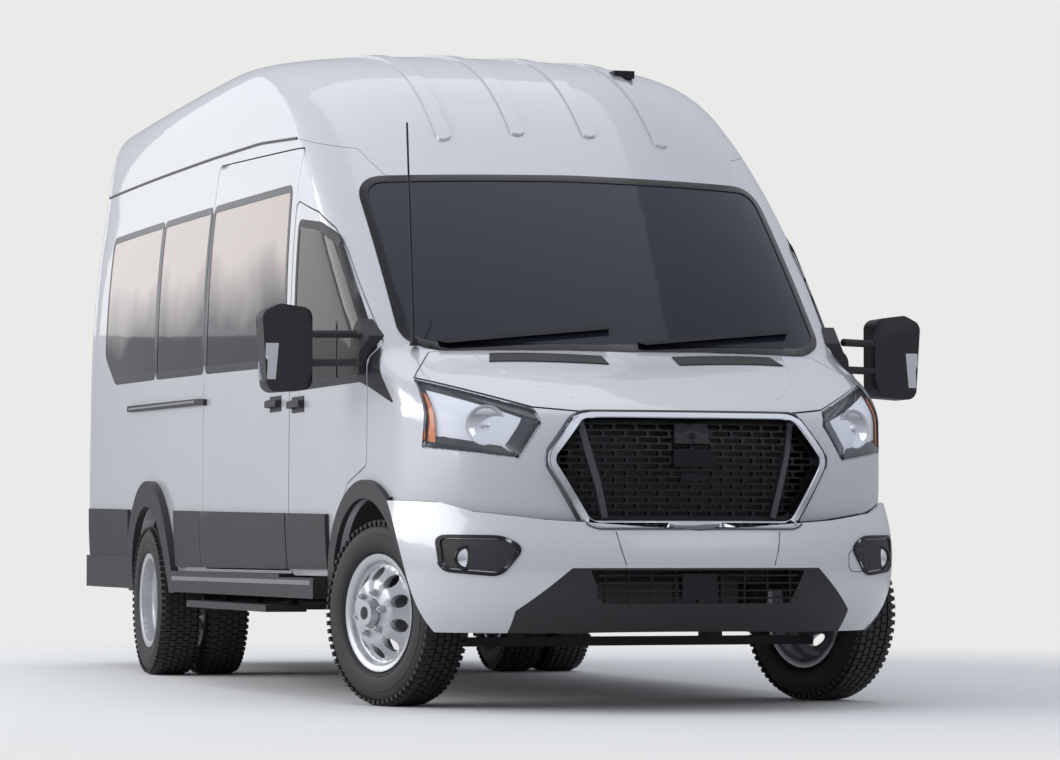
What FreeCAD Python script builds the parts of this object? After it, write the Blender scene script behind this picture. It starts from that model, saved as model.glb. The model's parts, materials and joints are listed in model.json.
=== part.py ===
import FreeCAD, Part
import math
import os
import re
import Sketcher
from FreeCAD import Placement, Rotation, Vector

# Long, high-roofed minibus with twin rear wheels, in millimetres.
# The origin is on the ground at the middle of its box, the nose points along -Y,
# its right side is -X, and +Z is up. It stands with its front wheels turned to its left.

SIZES = {
    # Whole vehicle
    "overall_length": 6704,
    "overall_height": 2781,
    "body_width": 2060,
    "wheelbase": 3750,
    "front_overhang": 1023,
    "front_track": 1732,
    "rest_steer": 19,
    # Body shell
    "wall": 55,
    "panel": 25,
    "glass": 6,
    "trim": 18,
    "seat_gap": 0.5,
    "shut_gap": 6,
    "grille_inset": 24,
    "grille_depth": 22,
    "cell_width": 74,
    "cell_height": 17,
    "cell_bar": 7,
    "lamp_depth": 110,
    "lamp_wall": 5,
    "flare_foot": 330,
    "radiator_half": 430,
    "latch_half": 50,
    "rib_rise": 9,
    "rib_width": 60,
    "hinge_radius": 11,
    "hinge_height": 50,
    "strap": 82,
    "tow_hole": 6.5,
    "tow_inset": 60,
    "tow_pitch": 100,
    "cladding_rise": 50,
    "front_flare_reach": 22,
    "bumper_wall": 40,
    "back_lean": 12,
    "seat_leg": 40,
    "arm_thick": 34,
    "rim_rise": 24,
    "sidewall_in": 14,
    "latch_gap": 11,
    "corner_radius": 95,
    "skirt_overrun": 60,
    "cut_overrun": 40,
    "window_radius": 45,
    "door_radius": 40,
    "pane_gap": 0.4,
    "door_pane_gap": 0.3,
    # Arches and flares
    "front_arch": 430,
    "front_flare": 500,
    "rear_arch": 440,
    "rear_flare": 560,
    "rear_flare_reach": 34,
    "liner": 5,
    "liner_inner": 535,
    "rear_liner_inner": 600,
    # Wheels
    "tyre_radius": 349,
    "tyre_width": 195,
    "bead_radius": 205,
    "bead_width": 150,
    "shoulder_radius": 26,
    "rim_lip": 221,
    "rim_well": 186,
    "rim_wall": 8,
    "rim_half": 84,
    "hub_radius": 104,
    "disc_wall": 10,
    "hub_nose": 34,
    "hub_nose_radius": 58,
    "hand_hole": 25,
    "hand_hole_ring": 146,
    "hand_holes": 10,
    "hub_bore": 35,
    "tyre_fit": 0.3,
    "dual_spacing": 228,
    "dual_track": 1686,
    # Steering
    "kingpin_track": 1580,
    "kingpin_radius": 22,
    "kingpin_length": 190,
    "stub_bore": 25,
    "hub_flange": 78,
    # Frame and running gear
    "rail_track": 800,
    "rail_width": 70,
    "rail_height": 130,
    "rail_base": 440,
    "rail_front": 3060,
    "rail_rear": 3180,
    "cross_width": 80,
    "cross_height": 70,
    "axle_tube": 48,
    "axle_length": 1200,
    "differential": 150,
    "differential_length": 220,
    "spring_track": 1090,
    "spring_width": 64,
    "spring_leaf": 30,
    "spring_length": 1400,
    "shaft_radius": 42,
    "pipe_radius": 32,
    "muffler_radius": 95,
    "muffler_length": 700,
    "tank_length": 1150,
    "tank_width": 360,
    "tank_height": 215,
    "engine_length": 620,
    "engine_width": 560,
    "engine_height": 600,
    "engine_base": 330,
    "floor_level": 640,
    "floor_thick": 45,
    # Doors
    "mirror_reach": 1345,
    "mirror_height": 338,
    "mirror_width": 195,
    "mirror_depth": 120,
    "mirror_radius": 40,
    "arm_radius": 15,
    "arm_spacing": 108,
    # Seats
    "seat_width": 430,
    "seat_depth": 440,
    "cushion_thick": 110,
    "seat_height": 330,
    "back_height": 620,
    "back_thick": 95,
    "head_height": 170,
    "head_width": 240,
    "head_thick": 80,
    "seat_radius": 30,
    "row_pitch": 800,
    "wheel_ring": 190,
    "wheel_rim_radius": 15,
    # Small fittings
    "mast_height": 860,
    "mast_radius": 4,
    "mast_foot": 18,
    "wiper_width": 16,
    "step_depth": 150,
    "step_thick": 28,
}

doc = FreeCAD.newDocument("minibus")
sheet = doc.addObject("Spreadsheet::Sheet", "Sizes")
for row, (alias, number) in enumerate(SIZES.items(), start=1):
    sheet.set(f"A{row}", alias)
    sheet.set(f"B{row}", str(number))
    sheet.setAlias(f"B{row}", alias)
doc.recompute()


def size(alias):
    """Read one driving dimension from the sheet."""
    return float(getattr(sheet, alias))


def cells(text):
    """Turn plain aliases in a formula into references to the sheet."""
    return re.sub(r"\b(" + "|".join(SIZES) + r")\b", r"Sizes.\1", text)


def amount(text):
    """Work out a formula of aliases as a plain number."""
    result = sheet.evalExpression(text)
    return float(getattr(result, "Value", result))


HALF_LENGTH = size("overall_length") / 2
HALF_WIDTH = size("body_width") / 2
HEIGHT = size("overall_height")
FRONT_AXLE = "(front_overhang - overall_length / 2)"
REAR_AXLE = "(front_overhang - overall_length / 2 + wheelbase)"
FRONT_AXLE_Y = amount(FRONT_AXLE)
REAR_AXLE_Y = amount(REAR_AXLE)
AXLE_Z = size("tyre_radius")
OVER = size("cut_overrun")
FAR = size("overall_length")
NODES = {}


def bind(thing, **formulas):
    """Tie properties of an object to formulas of the sheet."""
    for name, text in formulas.items():
        thing.setExpression(name.replace("__", "."), cells(text))


def place(thing, x="0", y="0", z="0"):
    """Tie an object's position to formulas of the sheet."""
    bind(thing, Placement__Base__x=x, Placement__Base__y=y, Placement__Base__z=z)


def block(name, lengths, corner):
    """Box of three lengths from its lowest corner, all as formulas."""
    thing = doc.addObject("Part::Box", name)
    bind(thing, Length=lengths[0], Width=lengths[1], Height=lengths[2])
    place(thing, *corner)
    return thing


def drum(name, radius, length, start, axis):
    """Cylinder from a start point along an axis."""
    thing = doc.addObject("Part::Cylinder", name)
    bind(thing, Radius=radius, Height=length)
    thing.Placement = Placement(Vector(), Rotation(Vector(0, 0, 1), axis))
    place(thing, *start)
    return thing


def joined(name, things):
    """One node made of several primitives."""
    thing = doc.addObject("Part::MultiFuse", name)
    thing.Shapes = things
    return thing


def fixed(name, shape):
    """Node whose shape is worked out from the sheet by a function."""
    thing = doc.addObject("Part::Feature", name)
    thing.Shape = shape
    return node(name, thing)


def node(name, thing):
    """Name the object that a file of this part is written from."""
    thing.Label = name
    NODES[name] = thing
    return thing


def sketch_on(body, name, role, points):
    """Closed sketch on a body's own plane.

    Each point is two formulas, and a third one makes the side after it an arc of that radius.
    """
    sketch = body.newObject("Sketcher::SketchObject", name)
    plane = [item for item in body.Origin.OriginFeatures if item.Role == role][0]
    sketch.AttachmentSupport = [(plane, "")]
    sketch.MapMode = "FlatFace"
    places = [Vector(amount(point[0]), amount(point[1]), 0) for point in points]
    for index, point in enumerate(points):
        here = places[index]
        there = places[(index + 1) % len(points)]
        if len(point) == 3:
            side = there - here
            outward = Vector(side.y, -side.x, 0).normalize()
            radius = amount(point[2])
            rise = radius - math.sqrt(radius ** 2 - (side.Length / 2) ** 2)
            sketch.addGeometry(Part.Arc(here, (here + there) / 2 + outward * rise, there), False)
        else:
            sketch.addGeometry(Part.LineSegment(here, there), False)
    for index, point in enumerate(points):
        after = (index + 1) % len(points)
        sketch.addConstraint(Sketcher.Constraint("Coincident", index, 2, after, 1))
        for kind, text, number in (("DistanceX", point[0], places[index].x),
                                   ("DistanceY", point[1], places[index].y)):
            made = sketch.addConstraint(Sketcher.Constraint(kind, -1, 1, index, 1, number))
            sketch.setExpression(f"Constraints[{made}]", cells(text))
        if len(point) == 3:
            made = sketch.addConstraint(Sketcher.Constraint("Radius", index, amount(point[2])))
            sketch.setExpression(f"Constraints[{made}]", cells(point[2]))
    return sketch


def turned(name, points):
    """Body turned about its own Z axis from a half section of radius and height."""
    body = doc.addObject("PartDesign::Body", name)
    sketch = sketch_on(body, name + "_section", "XZ_Plane", points)
    turn = body.newObject("PartDesign::Revolution", name + "_turn")
    turn.Profile = sketch
    turn.ReferenceAxis = (sketch, ["V_Axis"])
    turn.Angle = 360
    return body


# Outside of the body, row by row from the skirt to the roof:
# level, nose line, width, depth of the rounded nose and tail line, as shares of the driving sizes.
BODY_ROW_SHARES = (
    (0.1438, -0.9547, 0.9767, 0.6796, 0.9815),
    (0.1798, -0.9642, 0.9883, 0.6796, 0.9815),
    (0.2301, -0.9681, 0.9981, 0.6796, 0.9815),
    (0.2697, -0.9732, 1, 0.6796, 0.9815),
    (0.3092, -0.9761, 1, 0.6796, 0.9815),
    (0.3452, -0.9732, 1, 0.6699, 0.9815),
    (0.374, -0.9654, 0.999, 0.6214, 0.9815),
    (0.3901, -0.9561, 0.999, 0.5728, 0.9815),
    (0.4045, -0.9308, 0.9981, 0.5049, 0.9815),
    (0.4207, -0.898, 0.9981, 0.4369, 0.9815),
    (0.4369, -0.8622, 0.9971, 0.3883, 0.9815),
    (0.4531, -0.8249, 0.9971, 0.4078, 0.9815),
    (0.4675, -0.7906, 0.9961, 0.4029, 0.9815),
    (0.4818, -0.7637, 0.9961, 0.4078, 0.9815),
    (0.5214, -0.7315, 0.9942, 0.4272, 0.9806),
    (0.5609, -0.6996, 0.9922, 0.4369, 0.9797),
    (0.6005, -0.6662, 0.9883, 0.4466, 0.9788),
    (0.6401, -0.6316, 0.9825, 0.4515, 0.9776),
    (0.6796, -0.5964, 0.9748, 0.4563, 0.9761),
    (0.7192, -0.5597, 0.965, 0.4612, 0.9746),
    (0.7443, -0.5361, 0.9573, 0.466, 0.9732),
    (0.7731, -0.5116, 0.9466, 0.4854, 0.972),
    (0.8055, -0.4827, 0.934, 0.5097, 0.9708),
    (0.8378, -0.4505, 0.9204, 0.5437, 0.9696),
    (0.8702, -0.4132, 0.9117, 0.5825, 0.9681),
    (0.899, -0.3729, 0.9019, 0.6311, 0.9666),
    (0.9241, -0.3267, 0.8893, 0.6893, 0.9645),
    (0.9457, -0.273, 0.8748, 0.767, 0.9618),
    (0.9637, -0.2088, 0.8544, 0.8252, 0.9561),
    (0.9773, -0.1342, 0.8233, 0.932, 0.9442),
    (0.9871, -0.0537, 0.767, 1.0194, 0.9129),
    (0.9932, 0.0298, 0.6796, 1.0194, 0.8592),
    (0.9968, 0.1104, 0.5437, 0.9223, 0.7757),
)
NOSE_ROWS = 14
SCREEN_ROWS = 21
NOSE_POWER = 2.5
NOSE_TURN_SHARES = (0, 0.08, 0.17, 0.26, 0.35, 0.44, 0.53, 0.62, 0.7, 0.78, 0.86, 0.93, 1)
SIDE_STEPS = 6
CORNER_SHARES = ((1.2, 0), (0.6, 0), (0.16, 0), (0, 0.16), (0, 0.6), (0, 1.2))
DEGREE = 3
STRAIGHT = math.radians(89.5)
NOSE_TAPER_START_SHARE = -0.209
NOSE_TAPER_SPAN_SHARE = 0.582
NOSE_TAPER_SHARE = 0.08
TAIL_TAPER_START_SHARE = 0.239
TAIL_TAPER_SPAN_SHARE = 0.743
TAIL_TAPER_SHARE = 0.048


def taper(along):
    """Share of the full width that the body has at a place along its length."""
    share = along / HALF_LENGTH
    nose = max(0, NOSE_TAPER_START_SHARE - share) / NOSE_TAPER_SPAN_SHARE
    tail = max(0, share - TAIL_TAPER_START_SHARE) / TAIL_TAPER_SPAN_SHARE
    return 1 - NOSE_TAPER_SHARE * nose ** 2 - TAIL_TAPER_SHARE * tail ** 2


def outline_poles(level, nose, width, depth, tail):
    """Control points of the body's outline at one level, from right tail to left tail."""
    radius = size("corner_radius")
    start = nose + depth
    points = []
    for share in NOSE_TURN_SHARES:
        turn = share * math.pi / 2
        across = math.sin(turn) ** (2 / NOSE_POWER)
        back = math.cos(turn) ** (2 / NOSE_POWER)
        along = start - depth * back
        points.append(Vector(width * taper(along) * across, along, level))
    straight = tail - radius * 2 - start
    for step in range(1, SIDE_STEPS + 1):
        along = start + straight * step / SIDE_STEPS
        points.append(Vector(width * taper(along), along, level))
    corner = width * taper(tail)
    for back, inward in CORNER_SHARES:
        points.append(Vector(corner - radius * inward, tail - radius * back, level))
    mirrored = [Vector(-point.x, point.y, point.z) for point in reversed(points[1:])]
    return mirrored + points


def knot_row(count):
    """Clamped knots and their multiplicities for a row of control points."""
    spans = count - DEGREE
    return list(range(spans + 1)), [DEGREE + 1] + [1] * (spans - 1) + [DEGREE + 1]


def smooth_sheet(grid):
    """Smooth face drawn by a grid of control points."""
    along_knots, along_counts = knot_row(len(grid))
    across_knots, across_counts = knot_row(len(grid[0]))
    sheet_surface = Part.BSplineSurface()
    sheet_surface.buildFromPolesMultsKnots(grid, along_counts, across_counts, along_knots,
                                           across_knots, False, False, DEGREE, DEGREE)
    return sheet_surface


def smooth_line(points):
    """Smooth edge drawn by a row of control points."""
    knots, counts = knot_row(len(points))
    curve = Part.BSplineCurve()
    curve.buildFromPolesMultsKnots(points, counts, knots, False, DEGREE)
    return curve.toShape()


def stacked(stages):
    """Solid whose outlines stand above each other, with a crease between the stages."""
    faces = []
    for stage in stages:
        grid = [outline_poles(*row) for row in stage]
        faces.append(smooth_sheet(grid).toShape())
        right = smooth_line([line[0] for line in grid])
        left = smooth_line([line[-1] for line in grid])
        faces.append(Part.makeRuledSurface(right, left))
    for row in (stages[0][0], stages[-1][-1]):
        line = outline_poles(*row)
        rim = Part.Wire([smooth_line(line), Part.LineSegment(line[-1], line[0]).toShape()])
        faces.append(Part.Face(rim))
    shell = Part.makeShell(faces)
    shell.sewShape()
    solid = Part.makeSolid(shell)
    if solid.Volume < 0:
        solid.reverse()
    return solid


def set_in(rows, inset):
    """Rows moved in by a distance, square to the line down the middle of the nose."""
    moved = []
    for index, (level, nose, width, depth, tail) in enumerate(rows):
        below = rows[max(index - 1, 0)]
        above = rows[min(index + 1, len(rows) - 1)]
        rise = above[0] - below[0]
        run = above[1] - below[1]
        slope = math.hypot(rise, run)
        moved.append((level - inset * run / slope, nose + inset * rise / slope,
                      width - inset, depth, tail - inset))
    return moved


def scaled(shares):
    """Rows of shares as real sizes."""
    return [(HEIGHT * row[0], HALF_LENGTH * row[1], HALF_WIDTH * row[2],
             HALF_WIDTH * row[3], HALF_LENGTH * row[4]) for row in shares]


def envelope(inset=0, drop=0):
    """Solid inside the body's outside, set in all round and longer below by drop."""
    rows = set_in(scaled(BODY_ROW_SHARES), inset)
    level, *rest = rows[0]
    rows[0] = (level - drop, *rest)
    return stacked((rows[:NOSE_ROWS], rows[NOSE_ROWS - 1:SCREEN_ROWS], rows[SCREEN_ROWS - 1:]))


def rounded_wire(points, radius, lift):
    """Polygon with round corners; lift turns two numbers into a point in space."""
    corners = []
    flat = [Vector(point[0], point[1], 0) for point in points]
    for index, here in enumerate(flat):
        to_before = (flat[index - 1] - here).normalize()
        to_after = (flat[(index + 1) % len(flat)] - here).normalize()
        half = to_before.getAngle(to_after) / 2
        if half > STRAIGHT:
            continue
        inward = (to_before + to_after).normalize()
        reach = radius / math.tan(half)
        corners.append((here + to_before * reach,
                        here + inward * (radius / math.sin(half) - radius),
                        here + to_after * reach))
    edges = []
    for index, (begin, middle, end) in enumerate(corners):
        following = corners[(index + 1) % len(corners)][0]
        edges.append(Part.Arc(lift(begin), lift(middle), lift(end)).toShape())
        edges.append(Part.LineSegment(lift(end), lift(following)).toShape())
    return Part.Wire(edges)


def across_prism(points, radius, low, high):
    """Prism along X from an outline of length and height."""
    wire = rounded_wire(points, radius, lambda p: Vector(low, p.x, p.y))
    return Part.Face(wire).extrude(Vector(high - low, 0, 0))


def along_prism(points, radius, low, high):
    """Prism along Y from an outline of width and height."""
    wire = rounded_wire(points, radius, lambda p: Vector(p.x, low, p.y))
    return Part.Face(wire).extrude(Vector(0, high - low, 0))


def upright_prism(points, radius, low, high):
    """Prism along Z from an outline of width and length."""
    wire = rounded_wire(points, radius, lambda p: Vector(p.x, p.y, low))
    return Part.Face(wire).extrude(Vector(0, 0, high - low))


def side_points(shares, grow=0):
    """Outline in length and height from shares, made larger all round by grow."""
    points = [Vector(HALF_LENGTH * share[0], HEIGHT * share[1], 0) for share in shares]
    if not grow:
        return points
    area = sum(points[i - 1].x * points[i].y - points[i].x * points[i - 1].y
               for i in range(len(points)))
    turn = 1 if area > 0 else -1
    moved = []
    for index, here in enumerate(points):
        before = (here - points[index - 1]).normalize()
        after = (points[(index + 1) % len(points)] - here).normalize()
        out_before = Vector(before.y, -before.x, 0) * turn
        out_after = Vector(after.y, -after.x, 0) * turn
        middle = (out_before + out_after).normalize()
        moved.append(here + middle * (grow / middle.dot(out_before)))
    return moved


def mirror_x(shape):
    """The same shape on the vehicle's left side."""
    return shape.mirror(Vector(), Vector(1, 0, 0))


def solids_of(shape):
    """Only the solids of a shape, as one shape."""
    found = shape.Solids
    return found[0] if len(found) == 1 else Part.makeCompound(found)


OUTSIDE = envelope()
WALL = OUTSIDE.cut(envelope(size("wall"), size("skirt_overrun")))
THIN = OUTSIDE.cut(envelope(size("panel"), size("skirt_overrun")))
PANE = OUTSIDE.cut(envelope(size("glass"), size("skirt_overrun")))

# Outlines on the side, as shares of half the length and of the height, from the rear foot forward.
FRONT_DOOR_SHARES = (
    (-0.3765, 0.1726), (-0.5474, 0.1726), (-0.5609, 0.2337), (-0.6205, 0.302),
    (-0.6897, 0.3254), (-0.6897, 0.4908), (-0.6304, 0.5548), (-0.5629, 0.6275),
    (-0.5212, 0.6649), (-0.4714, 0.6926), (-0.3765, 0.7192))
FRONT_WINDOW_SHARES = (
    (-0.4013, 0.4477), (-0.6668, 0.4477), (-0.6668, 0.5005), (-0.5373, 0.6437),
    (-0.4893, 0.6677), (-0.4013, 0.6807))
SLIDING_DOOR_SHARES = (
    (0.0889, 0.1816), (-0.3765, 0.1816), (-0.3765, 0.7965), (0.0889, 0.8234))
SIDE_WINDOW_SHARES = (
    ((0.0782, 0.498), (-0.355, 0.4862), (-0.3431, 0.7371), (0.0782, 0.7497)),
    ((0.4072, 0.5063), (0.0984, 0.4984), (0.0984, 0.7504), (0.4072, 0.7587)),
    ((0.7339, 0.5142), (0.4221, 0.5067), (0.4221, 0.7594), (0.8279, 0.7702),
     (0.8294, 0.5681)))
RIB_END_SHARES = (-0.4773, 0.8652)
RIB_SHARES = (-0.4466, -0.1476, 0.1476, 0.4466)
GUTTER_SHARES = (
    (-0.5042, 0.7415), (-0.4475, 0.7875), (-0.332, 0.8155), (-0.1399, 0.8317),
    (0.1357, 0.8421), (0.4976, 0.8529), (1.04, 0.8673))
ROOF_FRONT_SHARE = -0.5817
SKY_SHARE = 1.04
SKIRT_SHARE = 0.1762
SIDE_INNER_SHARE = 0.55
SCREEN_BACK_SHARE = -0.4475
PILLAR_SPLIT_SHARE = 0.5142
# Outlines on the front, as shares of half the width and of the height.
SCREEN_SHARES = (
    (-0.7184, 0.4851), (0.7184, 0.4851), (0.8107, 0.5005), (0.8058, 0.7192),
    (0.7621, 0.7371), (0, 0.7422), (-0.7621, 0.7371), (-0.8058, 0.7192), (-0.8107, 0.5005))
GRILLE_SHARES = (
    (-0.3757, 0.2445), (0.3757, 0.2445), (0.5097, 0.3279), (0.3951, 0.384),
    (-0.3951, 0.384), (-0.5097, 0.3279))
LAMP_SHARES = (
    (-0.8689, 0.3438), (-0.6049, 0.3283), (-0.5272, 0.374), (-0.5417, 0.3934), (-0.8583, 0.438))
HOOD_EDGE_SHARES = (
    (-0.9515, 0.4538), (-0.8583, 0.4394), (-0.5417, 0.3955), (-0.3951, 0.3898),
    (0.3951, 0.3898), (0.5417, 0.3955), (0.8583, 0.4394), (0.9515, 0.4538),
    (0.9515, 0.6), (-0.9515, 0.6))
HOOD_SIDE_SHARES = (
    (-0.7476, -0.7354), (-0.8583, -0.7947), (-0.9709, -0.8652), (-0.9709, -1.0442),
    (0.9709, -1.0442), (0.9709, -0.8652), (0.8583, -0.7947), (0.7476, -0.7354),
    (0.6204, -0.7488), (0.4, -0.7608), (0, -0.7697), (-0.4, -0.7608), (-0.6204, -0.7488))
REAR_DOOR_SHARES = ((0, 0.2114), (0.8447, 0.2114), (0.8252, 0.8378), (0, 0.8378))
TRACK_SHARES = ((0.0996, 0.4416), (0.6044, 0.4516), (0.6044, 0.4617), (0.0996, 0.4516))
ROLLER_SHARES = ((0.0686, 0.4394), (0.0995, 0.4416), (0.0995, 0.4516), (0.0686, 0.4495))
MIRROR_PLATE_SHARES = ((-0.6533, 0.4502), (-0.6838, 0.4502), (-0.6838, 0.5016), (-0.6533, 0.5286))
DASH_SHARES = ((-0.6862, 0.3452), (-0.6354, 0.3452), (-0.6205, 0.4135), (-0.6474, 0.4538),
               (-0.6862, 0.4621))
SHELF_SHARES = ((-0.6712, 0.4459), (-0.6712, 0.4574), (-0.7249, 0.4675), (-0.7249, 0.4459))
REAR_WINDOW_SHARES = ((0.1068, 0.5178), (0.7476, 0.5178), (0.7282, 0.7497), (0.1068, 0.7497))


def front_points(shares, grow=0):
    """Outline in width and height from shares, made larger all round by grow."""
    stretched = [(share[0] * HALF_WIDTH / HALF_LENGTH, share[1]) for share in shares]
    return side_points(stretched, grow)


def plan_points(shares, grow=0):
    """Outline in width and length from shares, made larger all round by grow."""
    stretched = [(share[0] * HALF_WIDTH / HALF_LENGTH, share[1] * HALF_LENGTH / HEIGHT)
                 for share in shares]
    return side_points(stretched, grow)


RIGHT_LOW = -HALF_WIDTH - OVER * 2
SIDE_INNER = -HALF_WIDTH * SIDE_INNER_SHARE
GAP = size("shut_gap")
WINDOW_R = size("window_radius")
DOOR_R = size("door_radius")
REAR_FACE = HALF_LENGTH * BODY_ROW_SHARES[0][4]
CORNER_BACK = REAR_FACE - size("corner_radius") - size("wall")
HINGE_POST = HALF_LENGTH * FRONT_DOOR_SHARES[-1][0]


def right_prism(shares, grow, radius):
    """Prism through the right side of the body."""
    return across_prism(side_points(shares, grow), radius, RIGHT_LOW, SIDE_INNER)


def roof_region(grow=0):
    """Everything above the gutter line."""
    shares = GUTTER_SHARES + ((GUTTER_SHARES[-1][0], SKY_SHARE), (ROOF_FRONT_SHARE, SKY_SHARE),
                              (ROOF_FRONT_SHARE, GUTTER_SHARES[0][1]))
    return across_prism(side_points(shares, grow), DOOR_R, RIGHT_LOW, -RIGHT_LOW)


def arch_drum(radius, centre, inner, outer):
    """Cylinder across the vehicle at an axle, from one x to another."""
    return Part.makeCylinder(radius, outer - inner, Vector(inner, centre, AXLE_Z), Vector(1, 0, 0))


def slab(low, high):
    """Box between two corners."""
    span = Vector(*high) - Vector(*low)
    return Part.makeBox(span.x, span.y, span.z, Vector(*low))


SKIRT = HEIGHT * SKIRT_SHARE
SPLIT = HEIGHT * PILLAR_SPLIT_SHARE
ROOF_SPACE = roof_region()
SCREEN_BACK = HALF_LENGTH * SCREEN_BACK_SHARE
SCREEN_SPACE = along_prism(front_points(SCREEN_SHARES), WINDOW_R, -FAR, SCREEN_BACK)
DOOR_SPACE = right_prism(FRONT_DOOR_SHARES, GAP / 2, DOOR_R)
SLIDING_SPACE = right_prism(SLIDING_DOOR_SHARES, GAP / 2, DOOR_R)
WINDOW_SPACES = [right_prism(shares, 0, WINDOW_R) for shares in SIDE_WINDOW_SHARES]
REAR_DOOR_SPACE = along_prism(front_points(REAR_DOOR_SHARES, GAP / 2), DOOR_R,
                              REAR_FACE - size("wall") - OVER * 2, FAR)
FRONT_ARCH_SPACE = arch_drum(size("front_arch"), FRONT_AXLE_Y, RIGHT_LOW, -size("liner_inner"))
REAR_ARCH_SPACE = arch_drum(size("rear_arch"), REAR_AXLE_Y, RIGHT_LOW, -size("liner_inner"))


def make_roof():
    """High roof from the gutters up."""
    return solids_of(WALL.common(roof_region(-GAP / 4)))


def make_roof_ribs():
    """Shallow ribs laid along the roof."""
    half = size("rib_width") / 2
    start, end = (HALF_LENGTH * share for share in RIB_END_SHARES)
    strips = []
    for share in RIB_SHARES:
        low = HALF_WIDTH * share - half
        high = HALF_WIDTH * share + half
        outline = [Vector(low, start, 0), Vector(high, start, 0), Vector(high, end, 0), Vector(low, end, 0)]
        strips.append(upright_prism(outline, half - GAP, SPLIT, FAR))
    return solids_of(proud_skin(size("rib_rise"), size("tyre_fit")).common(Part.makeCompound(strips)))


def make_side(sliding):
    """Right body side behind the front door, up to the gutter and round to the tail."""
    region = slab((RIGHT_LOW, HINGE_POST, SKIRT), (SIDE_INNER, CORNER_BACK, FAR))
    side = WALL.common(region).cut(ROOF_SPACE).cut(REAR_ARCH_SPACE)
    if sliding:
        side = side.cut(SLIDING_SPACE)
    else:
        side = side.cut(WINDOW_SPACES[0])
    return side.cut(WINDOW_SPACES[1]).cut(WINDOW_SPACES[2])


def make_rear_frame():
    """Frame around the rear doors: two corner posts, header and sill."""
    region = slab((RIGHT_LOW, CORNER_BACK + size("seat_gap"), SKIRT), (-RIGHT_LOW, FAR, FAR))
    frame = WALL.common(region).cut(ROOF_SPACE)
    return solids_of(frame.cut(REAR_DOOR_SPACE).cut(mirror_x(REAR_DOOR_SPACE)))


def make_sliding_door():
    """Sliding door leaf with its window cut."""
    leaf = WALL.common(right_prism(SLIDING_DOOR_SHARES, -GAP / 2, DOOR_R))
    return leaf.cut(WINDOW_SPACES[0])


def make_front_door():
    """Right front door leaf with its window cut."""
    points = side_points(FRONT_DOOR_SHARES, -GAP / 2)
    pull = size("latch_gap") - GAP
    points = [Vector(p.x - pull, p.y, 0) if p.x > HINGE_POST - GAP else p for p in points]
    leaf = WALL.common(across_prism(points, DOOR_R, RIGHT_LOW, SIDE_INNER))
    return leaf.cut(right_prism(FRONT_WINDOW_SHARES, 0, WINDOW_R))


def pane(spaces):
    """Glass that fills window spaces in the skin of the body."""
    found = [PANE.common(space) for space in spaces]
    return found[0] if len(found) == 1 else Part.makeCompound(found)


def make_cab_frame():
    """Windscreen pillars, header and the rails over the front doors."""
    region = slab((RIGHT_LOW, -FAR, SPLIT), (-RIGHT_LOW, HINGE_POST, FAR))
    frame = WALL.common(region).cut(ROOF_SPACE).cut(SCREEN_SPACE)
    return frame.cut(DOOR_SPACE).cut(mirror_x(DOOR_SPACE))


def hood_space(grow):
    """Room of the hood, cut out of the wings."""
    front = along_prism(front_points(HOOD_EDGE_SHARES, grow), GAP * 2, -FAR, FRONT_AXLE_Y + FAR / 8)
    return front.common(upright_prism(plan_points(HOOD_SIDE_SHARES, grow), GAP * 2, 0, FAR))


def make_hood():
    """Hood skin with its raised middle."""
    return solids_of(THIN.common(hood_space(-GAP / 2)))


def lamp_space(grow):
    """Room of the right head lamp."""
    return along_prism(front_points(LAMP_SHARES, grow), GAP * 2, -FAR, FRONT_AXLE_Y - OVER * 3)


def grille_space(grow):
    """Room of the grille and its surround."""
    return along_prism(front_points(GRILLE_SHARES, grow), DOOR_R, -FAR, FRONT_AXLE_Y)


HOOP_SIDES = 8
FLARE_INNER_SHARE = 0.8
WING_BACK = HALF_LENGTH * FRONT_DOOR_SHARES[1][0]
BUMPER_TOP_SHARES = (
    (-1.2621, 0.2301), (-1.2621, 0.2877), (-0.835, 0.2726), (-0.7476, 0.2603), (-0.533, 0.2496),
    (0, 0.2355),
    (0.533, 0.2496), (0.7476, 0.2603), (0.835, 0.2726), (1.2621, 0.2877), (1.2621, 0.2301),
    (1.2621, 0), (-1.2621, 0))
BUMPER_ROW_SHARES = (
    (0.1025, -0.9517, 0.9563, 0.6019, 0.9815), (0.1187, -0.974, 0.9903, 0.6602, 0.9815),
    (0.1438, -0.9928, 1.0214, 0.7087, 0.9815), (0.1726, -1.0006, 1.0369, 0.7282, 0.9815),
    (0.2014, -1.0015, 1.0437, 0.7379, 0.9815), (0.2301, -0.9958, 1.0427, 0.7282, 0.9815),
    (0.2517, -0.9869, 1.035, 0.7087, 0.9815), (0.2769, -0.9732, 1.0214, 0.6796, 0.9815))
INTAKE_SHARES = ((-0.3437, 0.141), (0.3437, 0.141), (0.3961, 0.1841), (-0.3961, 0.1841))
VALANCE_SHARES = (
    (-0.6214, 0.0719), (0.6214, 0.0719), (0.6214, 0.1316), (0.4563, 0.187), (-0.4563, 0.187),
    (-0.6214, 0.1316))
FOG_SHARES = ((-0.835, 0.187), (-0.6796, 0.1816), (-0.6214, 0.2129), (-0.6699, 0.2237), (-0.8524, 0.2251))


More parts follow.
